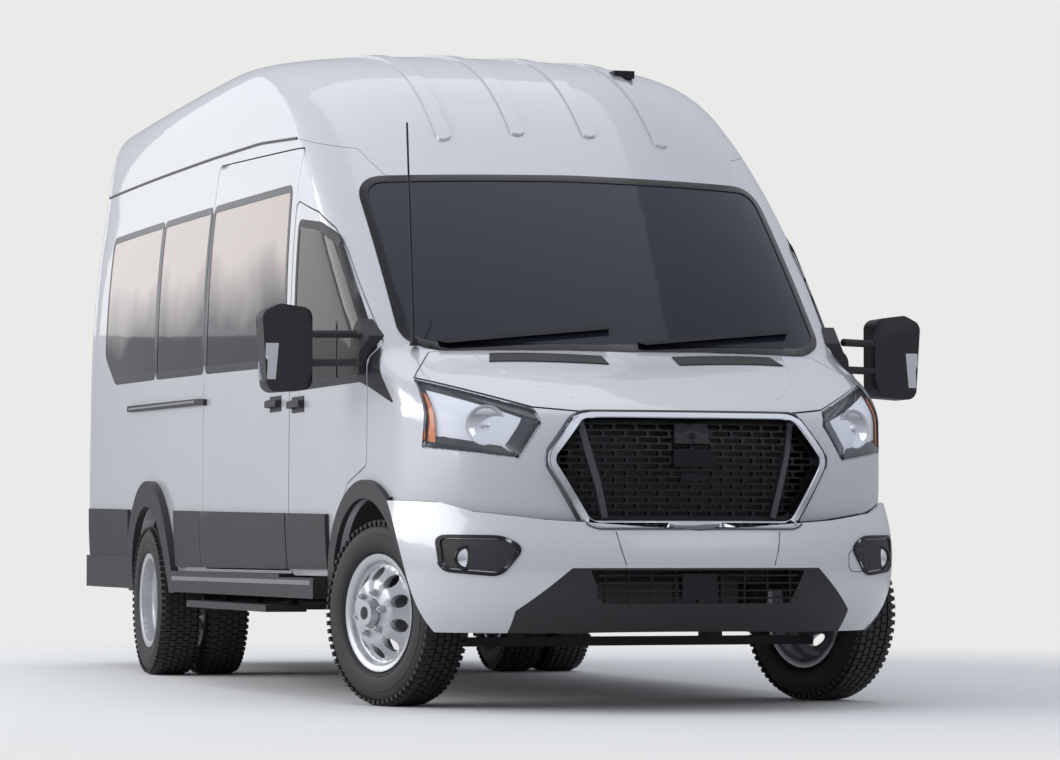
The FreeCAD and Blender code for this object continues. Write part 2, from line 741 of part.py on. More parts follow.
def bumper_skin():
    """Shell of the front bumper with its top edge trimmed."""
    rows = scaled(BUMPER_ROW_SHARES)
    outer = stacked([rows])
    inner_rows = set_in(rows, size("panel"))
    low, *first = inner_rows[0]
    high, *last = inner_rows[-1]
    inner_rows[0] = (low - OVER, *first)
    inner_rows[-1] = (high + OVER, *last)
    inner = stacked([inner_rows])
    skin = outer.cut(inner)
    below = along_prism(front_points(BUMPER_TOP_SHARES, -GAP / 4), GAP, -FAR, 0)
    skin = skin.common(below)
    flare = arch_drum(size("front_flare"), FRONT_AXLE_Y, RIGHT_LOW * 2, -RIGHT_LOW * 2)
    ahead = slab((RIGHT_LOW * 2, -FAR, 0), (-RIGHT_LOW * 2, FRONT_AXLE_Y, FAR))
    return skin.common(ahead).cut(flare)


def make_wings():
    """Right front wing around the wheel, with the nose around the grille."""
    region = slab((RIGHT_LOW, -FAR, 0), (0, WING_BACK + GAP, SPLIT))
    wing = THIN.common(region).cut(DOOR_SPACE).cut(SCREEN_SPACE).cut(FRONT_ARCH_SPACE)
    wing = wing.cut(hood_space(GAP / 2)).cut(lamp_space(GAP / 2)).cut(grille_space(size("trim")))
    below = along_prism(front_points(BUMPER_TOP_SHARES, GAP / 4), GAP, -FAR,
                        FRONT_AXLE_Y - size("front_arch") / 2)
    wing = wing.cut(below)
    under = slab((RIGHT_LOW, FRONT_AXLE_Y, 0), (0, 0, SKIRT))
    chin = slab((HALF_WIDTH * GRILLE_SHARES[0][0], -FAR, 0),
                (0, FRONT_AXLE_Y, HEIGHT * GRILLE_SHARES[0][1] + size("trim")))
    return wing.cut(under).cut(chin)


def both(shape):
    """A shape of the right side together with its match on the left."""
    return solids_of(Part.makeCompound([shape, mirror_x(shape)]))


def make_panes():
    """Side glass of both sides, in its frames."""
    frames = [right_prism(shares, -size("pane_gap"), WINDOW_R) for shares in SIDE_WINDOW_SHARES]
    return both(pane(frames))


def make_front_pane():
    """Glass of the right front door."""
    return pane([right_prism(FRONT_WINDOW_SHARES, -size("door_pane_gap"), WINDOW_R)])


def make_rear_door():
    """Right rear door leaf with its window cut."""
    leaf = WALL.common(mirror_x(along_prism(front_points(REAR_DOOR_SHARES, -GAP / 2), DOOR_R,
                                            REAR_FACE - size("wall") - OVER * 2, FAR)))
    window = mirror_x(along_prism(front_points(REAR_WINDOW_SHARES), WINDOW_R, 0, FAR))
    return leaf.cut(window)


def make_rear_pane():
    """Glass of the right rear door."""
    window = along_prism(front_points(REAR_WINDOW_SHARES, -size("pane_gap")), WINDOW_R,
                         REAR_AXLE_Y, FAR)
    return PANE.common(mirror_x(window))


def ring_of(outer_grow, inner_grow):
    """Frame between two sizes of the grille's outline."""
    return grille_space(outer_grow).cut(grille_space(inner_grow))


def make_surround():
    """Bright frame around the grille, proud of the nose."""
    body = envelope(-size("trim")).cut(envelope(size("panel"), size("skirt_overrun")))
    return body.common(ring_of(size("trim") - size("seat_gap"), -size("trim") / 2))


def make_grille():
    """Grille panel with rows of staggered long cells and two slanted bars."""
    inner = -size("trim") / 2 - size("seat_gap")
    back = size("grille_inset") + size("grille_depth")
    panel = envelope(size("grille_inset")).cut(envelope(back, size("skirt_overrun")))
    panel = panel.common(grille_space(inner))
    cells_cut = []
    pitch_x = size("cell_width") + size("cell_bar")
    pitch_z = size("cell_height") + size("cell_bar")
    reach = HALF_WIDTH * GRILLE_SHARES[2][0]
    low = HEIGHT * GRILLE_SHARES[0][1]
    high = HEIGHT * GRILLE_SHARES[3][1]
    rows = int((high - low) / pitch_z)
    columns = int(reach * 2 / pitch_x) + 1
    bevel = size("cell_height") / 3
    half = size("cell_width") / 2
    for row in range(rows):
        level = low + pitch_z * (row + 0.5)
        shift = pitch_x / 2 if row % 2 else 0
        for column in range(-columns // 2, columns // 2 + 1):
            across = column * pitch_x + shift
            rise = size("cell_height") / 2
            outline = [(across - half, level), (across - half + bevel, level - rise),
                       (across + half - bevel, level - rise), (across + half, level),
                       (across + half - bevel, level + rise), (across - half + bevel, level + rise)]
            wire = Part.makePolygon([Vector(x, -FAR / 2, z) for x, z in outline + outline[:1]])
            cells_cut.append(Part.Face(wire).extrude(Vector(0, FAR / 4, 0)))
    keep = grille_space(inner - size("cell_bar") * 2)
    holes = Part.makeCompound(cells_cut).common(keep)
    return panel.cut(holes)


def make_lamp():
    """Right head lamp: clear lens over a housing."""
    lens = PANE.common(lamp_space(0))
    deep = size("lamp_depth")
    shell = envelope(size("glass") + size("seat_gap")).cut(envelope(deep, size("skirt_overrun")))
    housing = shell.common(lamp_space(GAP / 2 - size("seat_gap")))
    room = envelope(size("glass") - OVER).cut(envelope(deep - size("lamp_wall"), size("skirt_overrun")))
    return lens, housing.cut(room.common(lamp_space(-size("lamp_wall"))))


def proud_skin(reach, standoff):
    """Skin that stands proud of the body's outside."""
    return envelope(-reach).cut(envelope(-standoff, size("skirt_overrun")))


def flare_ring(radius, inner, centre, reach):
    """Wheel arch flare that stands proud of the right side."""
    band = proud_skin(reach, size("seat_gap"))
    ring = arch_drum(radius, centre, RIGHT_LOW * 2, -HALF_WIDTH * FLARE_INNER_SHARE)
    ring = ring.cut(arch_drum(inner, centre, RIGHT_LOW * 2, -HALF_WIDTH * FLARE_INNER_SHARE))
    above = slab((RIGHT_LOW * 2, -FAR, size("flare_foot")), (0, FAR, FAR))
    return band.common(ring).common(above)


def arch_liner(radius, centre, inner, wall):
    """Inner wheel arch of the right side, up to the inside of the wall."""
    tube = arch_drum(radius + size("liner"), centre, -HALF_WIDTH, -inner)
    tube = tube.cut(arch_drum(radius, centre, RIGHT_LOW, size("liner") - inner))
    above = slab((RIGHT_LOW, -FAR, AXLE_Z), (0, FAR, FAR))
    return tube.common(above).common(envelope(wall + size("seat_gap"), size("skirt_overrun")))


BUMPER_FOOT_REAR_SHARE = 0.1438
BUMPER_TOP_REAR_SHARE = 0.2014
BUMPER_WIDTH_REAR_SHARE = 1.0058
SEAT_PAN_SHARE = 0.7
BACK_FOOT_SHARE = 1.2


def make_rear_bumper():
    """Step bumper around the tail, with the lower corners behind the wheels."""
    low = HEIGHT * BUMPER_FOOT_REAR_SHARE
    high = HEIGHT * BUMPER_TOP_REAR_SHARE
    width = HALF_WIDTH * BUMPER_WIDTH_REAR_SHARE
    rows = [(low + (high - low) * step / DEGREE, 0, width, HALF_WIDTH, HALF_LENGTH)
            for step in range(DEGREE + 1)]
    outer = stacked([rows])
    thick = size("bumper_wall")
    inner_rows = [(level, nose, wide - thick, deep, tail - thick) for level, nose, wide, deep, tail in rows]
    inner_rows[0] = (low - OVER, *inner_rows[0][1:])
    inner_rows[-1] = (high + OVER, *inner_rows[-1][1:])
    inner = stacked([inner_rows])
    start = REAR_AXLE_Y + size("rear_flare") + GAP
    shell = outer.cut(inner).common(slab((RIGHT_LOW * 2, start, 0), (-RIGHT_LOW * 2, FAR, FAR)))
    above = slab((RIGHT_LOW, 0, SKIRT - size("seat_gap")), (-RIGHT_LOW, FAR, FAR))
    return shell.cut(envelope(-size("seat_gap")).common(above))


def make_seat(across, along, level):
    """One seat: cushion, back and head rest that touch each other."""
    base = level + size("seat_height")
    top = base + size("cushion_thick")
    round_off = size("seat_radius")
    low = across - size("seat_width") / 2
    high = across + size("seat_width") / 2
    front = along - size("seat_depth")
    cushion = across_prism([Vector(front, base, 0), Vector(along, base, 0), Vector(along, top, 0),
                            Vector(front, top, 0)], round_off, low, high)
    lean = math.tan(math.radians(size("back_lean")))
    foot = along - size("back_thick") * BACK_FOOT_SHARE

    def leaning(start, rise, thick, half):
        """Board that leans back, from a height above the cushion's foot."""
        corners = [(start, 0), (start, thick), (start + rise, thick), (start + rise, 0)]
        outline = [Vector(foot + lean * up + out, base + up, 0) for up, out in corners]
        return across_prism(outline, round_off, across - half, across + half)

    start = size("cushion_thick") + size("seat_gap")
    back = leaning(start, size("back_height"), size("back_thick"), size("seat_width") / 2)
    head = leaning(start + size("back_height") + size("seat_gap"), size("head_height"),
                   size("head_thick"), size("head_width") / 2)
    return [cushion, back, head]


def seat_frame(across, along, level):
    """Legs and pan under one seat."""
    half = size("seat_width") * SEAT_PAN_SHARE / 2
    depth = size("seat_depth") * SEAT_PAN_SHARE
    leg = size("seat_leg")
    base = level + size("seat_height")
    pan = slab((across - half, along - depth, base - leg), (across + half, along, base - size("seat_gap")))
    foot = slab((across - half, along - depth, level), (across - half + leg, along, base - leg))
    other = slab((across + half - leg, along - depth, level), (across + half, along, base - leg))
    return pan.fuse([foot, other])


def hoop(radius, thick, centre, axis):
    """Ring of eight-sided section about an axis."""
    corners = []
    for step in range(HOOP_SIDES):
        turn = 2 * math.pi * (step + 0.5) / HOOP_SIDES
        corners.append(Vector(radius + thick * math.cos(turn), 0, thick * math.sin(turn)))
    face = Part.Face(Part.makePolygon(corners + corners[:1]))
    ring = face.revolve(Vector(), Vector(0, 0, 1), 360)
    ring.Placement = Placement(centre, Rotation(Vector(0, 0, 1), axis))
    return ring


def corners_of(one, other):
    """Lowest and highest corner of the box between two points."""
    low = (min(one.x, other.x), min(one.y, other.y), min(one.z, other.z))
    high = (max(one.x, other.x), max(one.y, other.y), max(one.z, other.z))
    return low, high


REAR_HINGE_SHARES = (0.2805, 0.4818, 0.6401)
REAR_PIN_SHARE = 0.8466
REAR_PIN_X = HALF_WIDTH * REAR_PIN_SHARE
REAR_PIN_Y = REAR_FACE + size("hinge_radius") + size("seat_gap") * 2


def rear_hinge(level):
    """Barrel hinge of the right rear door: the door's knuckle, and the post's two with the pin."""
    radius = size("hinge_radius")
    height = size("hinge_height")
    slack = size("tyre_fit")
    outside = envelope(-size("seat_gap"))
    spot = Vector(-REAR_PIN_X, REAR_PIN_Y, level - height / 2)
    inner = Vector(size("strap") - REAR_PIN_X, REAR_FACE - OVER, level + height / 2 - slack)
    leaf = slab(*corners_of(spot + Vector(0, 0, slack), inner))
    bore = Part.makeCylinder(radius / 2 + slack, height, spot)
    moving = Part.makeCylinder(radius, height, spot).fuse(leaf).cut(bore).cut(outside)
    foot = Vector(-REAR_PIN_X, REAR_PIN_Y, spot.z - height)
    still = [Part.makeCylinder(radius / 2, height * DEGREE, foot)]
    for start in (foot.z, spot.z + height + slack):
        low = Vector(-REAR_PIN_X, REAR_PIN_Y, start)
        still.append(Part.makeCylinder(radius, height - slack, low))
        far = Vector(-REAR_PIN_X - size("strap") / 2, REAR_FACE - OVER, start + height - slack)
        still.append(slab(*corners_of(low, far)))
    return moving, still[0].fuse(still[1:]).cut(outside)


fixed("roof", make_roof())
fixed("roof_ribs", make_roof_ribs())
fixed("side_right", solids_of(make_side(True)))
fixed("side_left", solids_of(mirror_x(make_side(False))))
fixed("rear_frame", make_rear_frame())
fixed("sliding_door", solids_of(make_sliding_door()))
door = solids_of(make_front_door())
fixed("front_door_right", door)
fixed("front_door_left", mirror_x(door))
fixed("cab_frame", solids_of(make_cab_frame()))
fixed("hood", make_hood())
fixed("wings", both(make_wings()))
bumper = bumper_skin()
intake = along_prism(front_points(VALANCE_SHARES), GAP, -FAR, 0)
fog = along_prism(front_points(FOG_SHARES), GAP * 2, -FAR, 0)
fixed("front_bumper", solids_of(bumper.cut(intake).cut(fog).cut(mirror_x(fog))))
valance = bumper.common(along_prism(front_points(VALANCE_SHARES, -size("seat_gap")), GAP, -FAR, 0))
valance = valance.cut(along_prism(front_points(INTAKE_SHARES), GAP, -FAR, 0))
fog_piece = bumper.common(along_prism(front_points(FOG_SHARES, -size("seat_gap")), GAP * 2, -FAR, 0))
fixed("front_valance", solids_of(Part.makeCompound([valance, both(fog_piece)])))
screen = along_prism(front_points(SCREEN_SHARES, -size("pane_gap")), WINDOW_R, -FAR, SCREEN_BACK)
fixed("windscreen", solids_of(PANE.common(screen)))
fixed("side_glass", make_panes())
pane_right = make_front_pane()
fixed("front_glass_right", solids_of(pane_right))
fixed("front_glass_left", solids_of(mirror_x(pane_right)))
rear_hinges = [rear_hinge(HEIGHT * share) for share in REAR_HINGE_SHARES]
rear_leaf = solids_of(Part.makeCompound([make_rear_door()] + [moving for moving, still in rear_hinges]))
fixed("rear_door_right", rear_leaf)
fixed("rear_door_left", mirror_x(rear_leaf))
fixed("hinge_posts", both(Part.makeCompound([still for moving, still in rear_hinges])))
rear_pane = solids_of(make_rear_pane())
fixed("rear_glass_right", rear_pane)
fixed("rear_glass_left", mirror_x(rear_pane))
fixed("grille_surround", solids_of(make_surround()))
fixed("grille", solids_of(make_grille()))
lens, housing = make_lamp()
fixed("lamp_lenses", both(lens))
fixed("lamp_housings", both(housing))
flares = [flare_ring(size("front_flare"), size("front_arch"), FRONT_AXLE_Y, size("front_flare_reach")),
          flare_ring(size("rear_flare"), size("rear_arch"), REAR_AXLE_Y, size("rear_flare_reach"))]
fixed("arch_flares", both(Part.makeCompound(flares)))
liners = [arch_liner(size("front_arch"), FRONT_AXLE_Y, size("liner_inner"), size("panel")),
          arch_liner(size("rear_arch"), REAR_AXLE_Y, size("rear_liner_inner"), size("wall"))]
fixed("arch_liners", both(Part.makeCompound(liners)))
fixed("rear_bumper", make_rear_bumper())

# Floor on the frame, open round the wheels, with the bulkhead in front of the cab.
CAB_FRONT_SHARE = -0.6862
BULKHEAD_TOP_SHARE = 0.4441
CAB_FRONT = HALF_LENGTH * CAB_FRONT_SHARE
BULKHEAD_TOP = HEIGHT * BULKHEAD_TOP_SHARE
floor = slab((-HALF_WIDTH, CAB_FRONT, size("floor_level")),
             (HALF_WIDTH, FAR, size("floor_level") + size("floor_thick")))
bulkhead = slab((-HALF_WIDTH, CAB_FRONT - size("panel"), size("floor_level")),
                (HALF_WIDTH, CAB_FRONT, BULKHEAD_TOP))
inside = envelope(size("wall") + GAP, size("skirt_overrun"))
floor = floor.common(inside)
bulkhead = bulkhead.common(inside)
for side in (1, -1):
    for centre, radius, inner in ((REAR_AXLE_Y, size("rear_arch"), size("rear_liner_inner")),
                                  (FRONT_AXLE_Y, size("front_arch"), size("liner_inner"))):
        low, high = sorted((side * HALF_WIDTH, side * (inner - size("seat_gap"))))
        arch = arch_drum(radius + size("liner") + size("seat_gap"), centre, low, high)
        floor = floor.cut(arch)
        bulkhead = bulkhead.cut(arch)
bulkhead = bulkhead.cut(slab((-HALF_WIDTH, CAB_FRONT - size("seat_gap"), 0), (HALF_WIDTH, FAR, FAR)))
floor = floor.cut(slab((-HALF_WIDTH, REAR_FACE - size("wall") * 2 - GAP, 0), (HALF_WIDTH, FAR, FAR)))
fixed("floor", solids_of(Part.makeCompound([floor, bulkhead])))

# Ladder frame: rails, cross members between them and cross pieces that the floor lies on.
CROSS_SHARES = (-0.9, -0.6, -0.36, 0.1, 0.62, 0.93)
MOUNT_SHARES = (-0.45, -0.1, 0.2, 0.7, 0.86)
MOUNT_WIDTH = "(body_width * 0.84)"
CROSS_BASE = "(rail_base + rail_height / 2 - cross_height / 2)"
rails = []
for side in ("", "-"):
    rail = block("rail" + side.replace("-", "_left"), ("rail_width", "rail_front + rail_rear", "rail_height"),
                 (side + "rail_track / 2 - rail_width / 2", "-rail_front", "rail_base"))
    rails.append(rail)
for share in CROSS_SHARES:
    rails.append(block(f"cross_{len(rails)}", ("rail_track", "cross_width", "cross_height"),
                       ("-rail_track / 2", f"overall_length / 2 * {share} - cross_width / 2", CROSS_BASE)))
for share in MOUNT_SHARES:
    rails.append(block(f"mount_{len(rails)}",
                       (MOUNT_WIDTH, "cross_width", "floor_level - rail_base - rail_height"),
                       (f"-{MOUNT_WIDTH} / 2", f"overall_length / 2 * {share}", "rail_base + rail_height")))
ladder = joined("ladder", rails)
holes = []
for side in ("", "-"):
    for back in ("tow_inset", "tow_inset + tow_pitch"):
        holes.append(drum(f"tow_hole_{len(holes)}", "tow_hole", "rail_height + 2 * cut_overrun",
                          (side + "rail_track / 2", f"rail_rear - ({back})", "rail_base - cut_overrun"),
                          Vector(0, 0, 1)))
drilled = doc.addObject("Part::Cut", "drilled_rails")
drilled.Base = ladder
drilled.Tool = joined("tow_holes", holes)
node("frame_rails", drilled)

# Rear axle with its leaf springs.
tube = drum("axle_tube_body", "axle_tube", "axle_length",
            ("-axle_length / 2", REAR_AXLE, "tyre_radius"), Vector(1, 0, 0))
gear = drum("axle_gear", "differential", "differential_length",
            ("-differential_length / 2", REAR_AXLE, "tyre_radius"), Vector(1, 0, 0))
springs = []
for side in ("", "-"):
    tag = "left" if side else "right"
    springs.append(block("spring_" + tag, ("spring_width", "spring_length", "spring_leaf"),
                         (side + "spring_track / 2 - spring_width / 2", REAR_AXLE + " - spring_length / 2",
                          "tyre_radius + axle_tube")))
    for end, sign in (("front", "-"), ("back", "+")):
        back = REAR_AXLE + f" {sign} (spring_length / 2 - spring_leaf) - spring_leaf"
        springs.append(block(f"shackle_{tag}_{end}",
                             ("spring_width", "spring_leaf * 2",
                              "rail_base + rail_height / 2 - tyre_radius - axle_tube"),
                             (side + "spring_track / 2 - spring_width / 2", back, "tyre_radius + axle_tube")))
        springs.append(block(f"hanger_{tag}_{end}",
                             ("spring_track / 2 - rail_track / 2 - rail_width / 2 - seat_gap",
                              "spring_leaf * 2", "rail_height / 2"),
                             ("-spring_track / 2" if side else "rail_track / 2 + rail_width / 2 + seat_gap",
                              back, "rail_base")))
ENGINE_BACK_SHARE = -0.6981
ENGINE_BACK = f"overall_length / 2 * {ENGINE_BACK_SHARE}"
shaft = drum("drive_shaft", "shaft_radius", f"{REAR_AXLE} - differential - seat_gap * 2 - {ENGINE_BACK}",
             ("0", f"{ENGINE_BACK} + seat_gap", "tyre_radius + shaft_radius / 2"), Vector(0, 1, 0))
drive = doc.addObject("Part::Compound", "rear_axle")
drive.Links = [joined("axle_and_springs", [tube, gear] + springs), shaft]
node("rear_axle", drive)

# Front cross member, with arms that hold each kingpin at its foot and its head.
arms = [block("front_member", ("rail_track + rail_width", "cross_width", "arm_thick"),
              ("-rail_track / 2 - rail_width / 2", FRONT_AXLE + " - cross_width / 2",
               "tyre_radius - kingpin_length / 2 - seat_gap - arm_thick"))]
for side in ("", "-"):
    tag = "left" if side else "right"
    start = "-kingpin_track / 2 - kingpin_radius" if side else "rail_track / 2"
    run = "kingpin_track / 2 + kingpin_radius - rail_track / 2"
    clear = "(rail_width / 2 + seat_gap)"
    arms.append(block("arm_low_" + tag, (run, "cross_width", "arm_thick"),
                      (start, FRONT_AXLE + " - cross_width / 2",
                       "tyre_radius - kingpin_length / 2 - seat_gap - arm_thick")))
    arms.append(block("arm_high_" + tag, (f"{run} - {clear}", "cross_width", "arm_thick"),
                      (start if side else f"{start} + {clear}", FRONT_AXLE + " - cross_width / 2",
                       "tyre_radius + kingpin_length / 2 + seat_gap")))
    arms.append(block("strut_" + tag, ("rail_width", "cross_width",
                                       "rail_base - seat_gap - tyre_radius + kingpin_length / 2 + seat_gap"),
                      (side + "rail_track / 2 - rail_width / 2", FRONT_AXLE + " - cross_width / 2",
                       "tyre_radius - kingpin_length / 2 - seat_gap")))
node("front_axle", joined("front_axle", arms))

# Engine block, and the radiator with the hood's latch on it.
RADIATOR_SHARES = (-0.9233, -0.9075)
RADIATOR_TOP_SHARE = 0.3722
LATCH_FOOT_SHARE = 0.3596
ahead, behind = (HALF_LENGTH * share for share in RADIATOR_SHARES)
foot = size("rail_base") + size("rail_height") + size("seat_gap")
radiator = slab((-size("radiator_half"), ahead, foot),
                (size("radiator_half"), behind, HEIGHT * RADIATOR_TOP_SHARE))
latch = slab((-size("latch_half"), ahead, HEIGHT * LATCH_FOOT_SHARE), (size("latch_half"), behind, FAR))
latch = latch.common(envelope(size("panel") + size("tyre_fit")))
cooler = doc.addObject("Part::Feature", "radiator")
cooler.Shape = radiator.fuse(latch)
motor = doc.addObject("Part::Compound", "engine")
motor.Links = [cooler, block("engine_block", ("engine_width", "engine_length", "engine_height"),
                             ("-engine_width / 2", f"{ENGINE_BACK} - engine_length", "engine_base"))]
node("engine", motor)
node("fuel_tank", block("fuel_tank", ("tank_width", "tank_length", "tank_height"),
                        ("rail_track / 2 + rail_width", "-overall_length / 8 - tank_length / 2",
                         "rail_base + rail_height - seat_gap - tank_height")))
PIPE_X = "-rail_track / 4"
PIPE_Z = "rail_base - pipe_radius * 3"
PIPE_END = f"({REAR_AXLE} - rear_flare - pipe_radius)"
pipe = drum("pipe", "pipe_radius", f"{PIPE_END} + overall_length / 4",
            (PIPE_X, "-overall_length / 4", PIPE_Z), Vector(0, 1, 0))
muffler = drum("muffler", "muffler_radius", "muffler_length", (PIPE_X, "-muffler_length", PIPE_Z),
               Vector(0, 1, 0))
outlet = drum("outlet", "pipe_radius", "body_width * 0.44 - rail_track / 4", (PIPE_X, PIPE_END, PIPE_Z),
              Vector(-1, 0, 0))
elbow = doc.addObject("Part::Sphere", "elbow")
bind(elbow, Radius="pipe_radius")
place(elbow, PIPE_X, PIPE_END, PIPE_Z)
hangers = []
for share in CROSS_SHARES[2:4]:
    hangers.append(block(f"pipe_hanger_{len(hangers)}",
                         ("pipe_radius", "cross_width / 2", f"{CROSS_BASE} - seat_gap - ({PIPE_Z})"),
                         (f"{PIPE_X} - pipe_radius / 2", f"overall_length / 2 * {share} - cross_width / 4",
                          PIPE_Z)))
node("exhaust", joined("exhaust", [pipe, muffler, outlet, elbow] + hangers))


# Wheels. The twin wheels of one end are one piece.
def tyre_section(shift):
    """Half section of a tyre whose middle plane is moved along its axis."""
    half = (
        ("bead_radius + tyre_fit", "bead_width / 2 - rim_wall"),
        ("rim_lip + tyre_fit", "bead_width / 2"),
        ("bead_radius + rim_rise", "tyre_width / 2 - sidewall_in"),
        ("tyre_radius - shoulder_radius * 2", "tyre_width / 2"),
        ("tyre_radius - shoulder_radius / 2", "tyre_width / 2 - shoulder_radius / 2"),
        ("tyre_radius", "tyre_width / 2 - shoulder_radius * 1.3"))
    below = [(radius, f"{shift} - ({height})") for radius, height in half]
    above = [(radius, f"{shift} + ({height})") for radius, height in reversed(half)]
    return below + above


def rim_section(shift, way):
    """Half section of a wheel whose disc bulges the way of the sign."""
    places = (
        ("hub_bore", "dual_spacing / 2 - disc_wall"),
        ("hub_radius", "dual_spacing / 2 - disc_wall"),
        ("rim_well - rim_wall * 2", "rim_half * 0.42"),
        ("rim_well - rim_wall", "-rim_half * 0.2"),
        ("bead_radius - rim_wall * 1.5", "-rim_half * 0.42"),
        ("bead_radius - rim_wall * 1.5", "-bead_width / 2 - rim_wall / 2"),
        ("rim_lip - rim_wall", "-rim_half"),
        ("rim_lip", "-rim_half"),
        ("rim_lip", "-bead_width / 2 - rim_wall * 0.4"),
        ("bead_radius", "-bead_width / 2 + rim_wall"),
        ("bead_radius", "-rim_half * 0.35"),
        ("rim_well", "-rim_half * 0.12"),
        ("rim_well", "rim_half * 0.6"),
        ("bead_radius", "rim_half * 0.7"),
        ("bead_radius", "bead_width / 2 - rim_wall"),
        ("rim_lip", "bead_width / 2 + rim_wall * 0.4"),
        ("rim_lip", "rim_half"),
        ("rim_lip - rim_wall", "rim_half"),
        ("bead_radius - rim_wall * 1.5", "bead_width / 2"),
        ("bead_radius - rim_wall * 1.5", "rim_half * 0.76"),
        ("rim_well - rim_wall", "rim_half * 0.64"),
        ("hub_radius + disc_wall", "dual_spacing / 2"),
        ("hub_bore", "dual_spacing / 2"))
    return tuple((radius, f"{shift} {way} ({height})") for radius, height in places)


def add_hand_holes(body, name):
    """Ring of round holes through the wheel's disc."""
    doc.recompute()
    sketch = body.newObject("Sketcher::SketchObject", name + "_hole_circle")
    plane = [item for item in body.Origin.OriginFeatures if item.Role == "XY_Plane"][0]
    sketch.AttachmentSupport = [(plane, "")]
    sketch.MapMode = "FlatFace"
    centre = Vector(size("hand_hole_ring"), 0, 0)
    sketch.addGeometry(Part.Circle(centre, Vector(0, 0, 1), size("hand_hole")), False)
    for kind, text in (("DistanceX", "hand_hole_ring"), ("Radius", "hand_hole")):
        if kind == "Radius":
            made = sketch.addConstraint(Sketcher.Constraint(kind, 0, size(text)))
        else:
            made = sketch.addConstraint(Sketcher.Constraint(kind, -1, 1, 0, 3, size(text)))
        sketch.setExpression(f"Constraints[{made}]", cells(text))
    sketch.addConstraint(Sketcher.Constraint("PointOnObject", 0, 3, -1))
    pocket = body.newObject("PartDesign::Pocket", name + "_hole")
    pocket.Profile = sketch
    pocket.Type = "ThroughAll"
    pocket.Midplane = True
    ring = body.newObject("PartDesign::PolarPattern", name + "_holes")
    ring.Originals = [pocket]
    ring.Axis = (sketch, ["N_Axis"])
    ring.Angle = 360
    ring.Occurrences = int(size("hand_holes"))
    body.Tip = ring


def rear_hub_section():
    """Half section of the hub that carries twin wheels, from the axle's end to its cap."""
    return (
        ("stub_bore", "axle_length / 2 + seat_gap - dual_track / 2"),
        ("hub_flange", "axle_length / 2 + seat_gap - dual_track / 2"),
        ("hub_flange", "-disc_wall - seat_gap"),
        ("hub_bore - tyre_fit", "-disc_wall - seat_gap"),
        ("hub_bore - tyre_fit", "disc_wall + seat_gap"),
        ("hub_nose_radius", "disc_wall + seat_gap"),
        ("hub_nose_radius * 0.8", "disc_wall + hub_nose * 2"),
        ("stub_bore", "disc_wall + hub_nose * 2"))


def set_wheel(thing, side, steer):
    """Put a wheel on its axle, its outside away from the vehicle; side is -1 on the right."""
    out = Rotation(Vector(0, 1, 0), 90 * side)
    turn = Rotation(Vector(0, 0, 1), steer)
    thing.Placement = Placement(Vector(), turn.multiply(out))


def hub_section(inner, nose):
    """Half section of a hub from its inner end to its nose, both as formulas."""
    return (
        ("stub_bore", inner),
        ("hub_flange", inner),
        ("hub_flange", "dual_spacing / 2 - disc_wall - seat_gap / 2"),
        ("hub_bore - tyre_fit", "dual_spacing / 2 - disc_wall - seat_gap / 2"),
        ("hub_bore - tyre_fit", "dual_spacing / 2 + seat_gap / 2"),
        ("hub_nose_radius", "dual_spacing / 2 + seat_gap / 2"),
        ("hub_nose_radius * 0.8", nose),
        ("stub_bore", nose))


FRONT_REACH = "(front_track - kingpin_track) / 2"
SIDES = (("right", -1), ("left", 1))
STEER_COS = "cos(rest_steer * 1deg)"
STEER_SIN = "sin(rest_steer * 1deg)"
for tag, side in SIDES:
    sign = "-" if side < 0 else ""
    plus = "-" if side < 0 else "+"
    spot = (f"{sign}kingpin_track / 2 {plus} {FRONT_REACH} * {STEER_COS}",
            f"{FRONT_AXLE} {plus} {FRONT_REACH} * {STEER_SIN}", "tyre_radius")
    tyre = turned(f"tyre_front_{tag}", tyre_section("0"))
    rim = turned(f"wheel_disc_{tag}", rim_section("0", "+"))
    add_hand_holes(rim, rim.Name)
    hub = turned(f"hub_{tag}", hub_section(f"-{FRONT_REACH} + kingpin_radius + latch_gap",
                                           "dual_spacing / 2 + hub_nose"))
    for body in (tyre, rim, hub):
        set_wheel(body, side, size("rest_steer"))
        place(body, *spot)
    node(f"tyre_front_{tag}", tyre)
    rims = doc.addObject("Part::Compound", f"rim_front_{tag}")
    rims.Links = [rim, hub]
    node(f"rim_front_{tag}", rims)
    tyres = []
    rims = []
    for spot, shift, way in (("inner", "-dual_spacing / 2", "+"), ("outer", "dual_spacing / 2", "-")):
        tyres.append(turned(f"tyre_rear_{tag}_{spot}", tyre_section(shift)))
        inset = "- seat_gap / 4" if way == "+" else "+ seat_gap / 4"
        rims.append(turned(f"rim_rear_{tag}_{spot}", rim_section(f"{shift} {inset}", way)))
        add_hand_holes(rims[-1], rims[-1].Name)
    rims.append(turned(f"hub_rear_{tag}", rear_hub_section()))
    for body in tyres + rims:
        set_wheel(body, side, 0)
        place(body, f"{sign}dual_track / 2", REAR_AXLE, "tyre_radius")
    for name, bodies in ((f"tyres_rear_{tag}", tyres), (f"rims_rear_{tag}", rims)):
        pair = doc.addObject("Part::Compound", name)
        pair.Links = bodies
        node(name, pair)

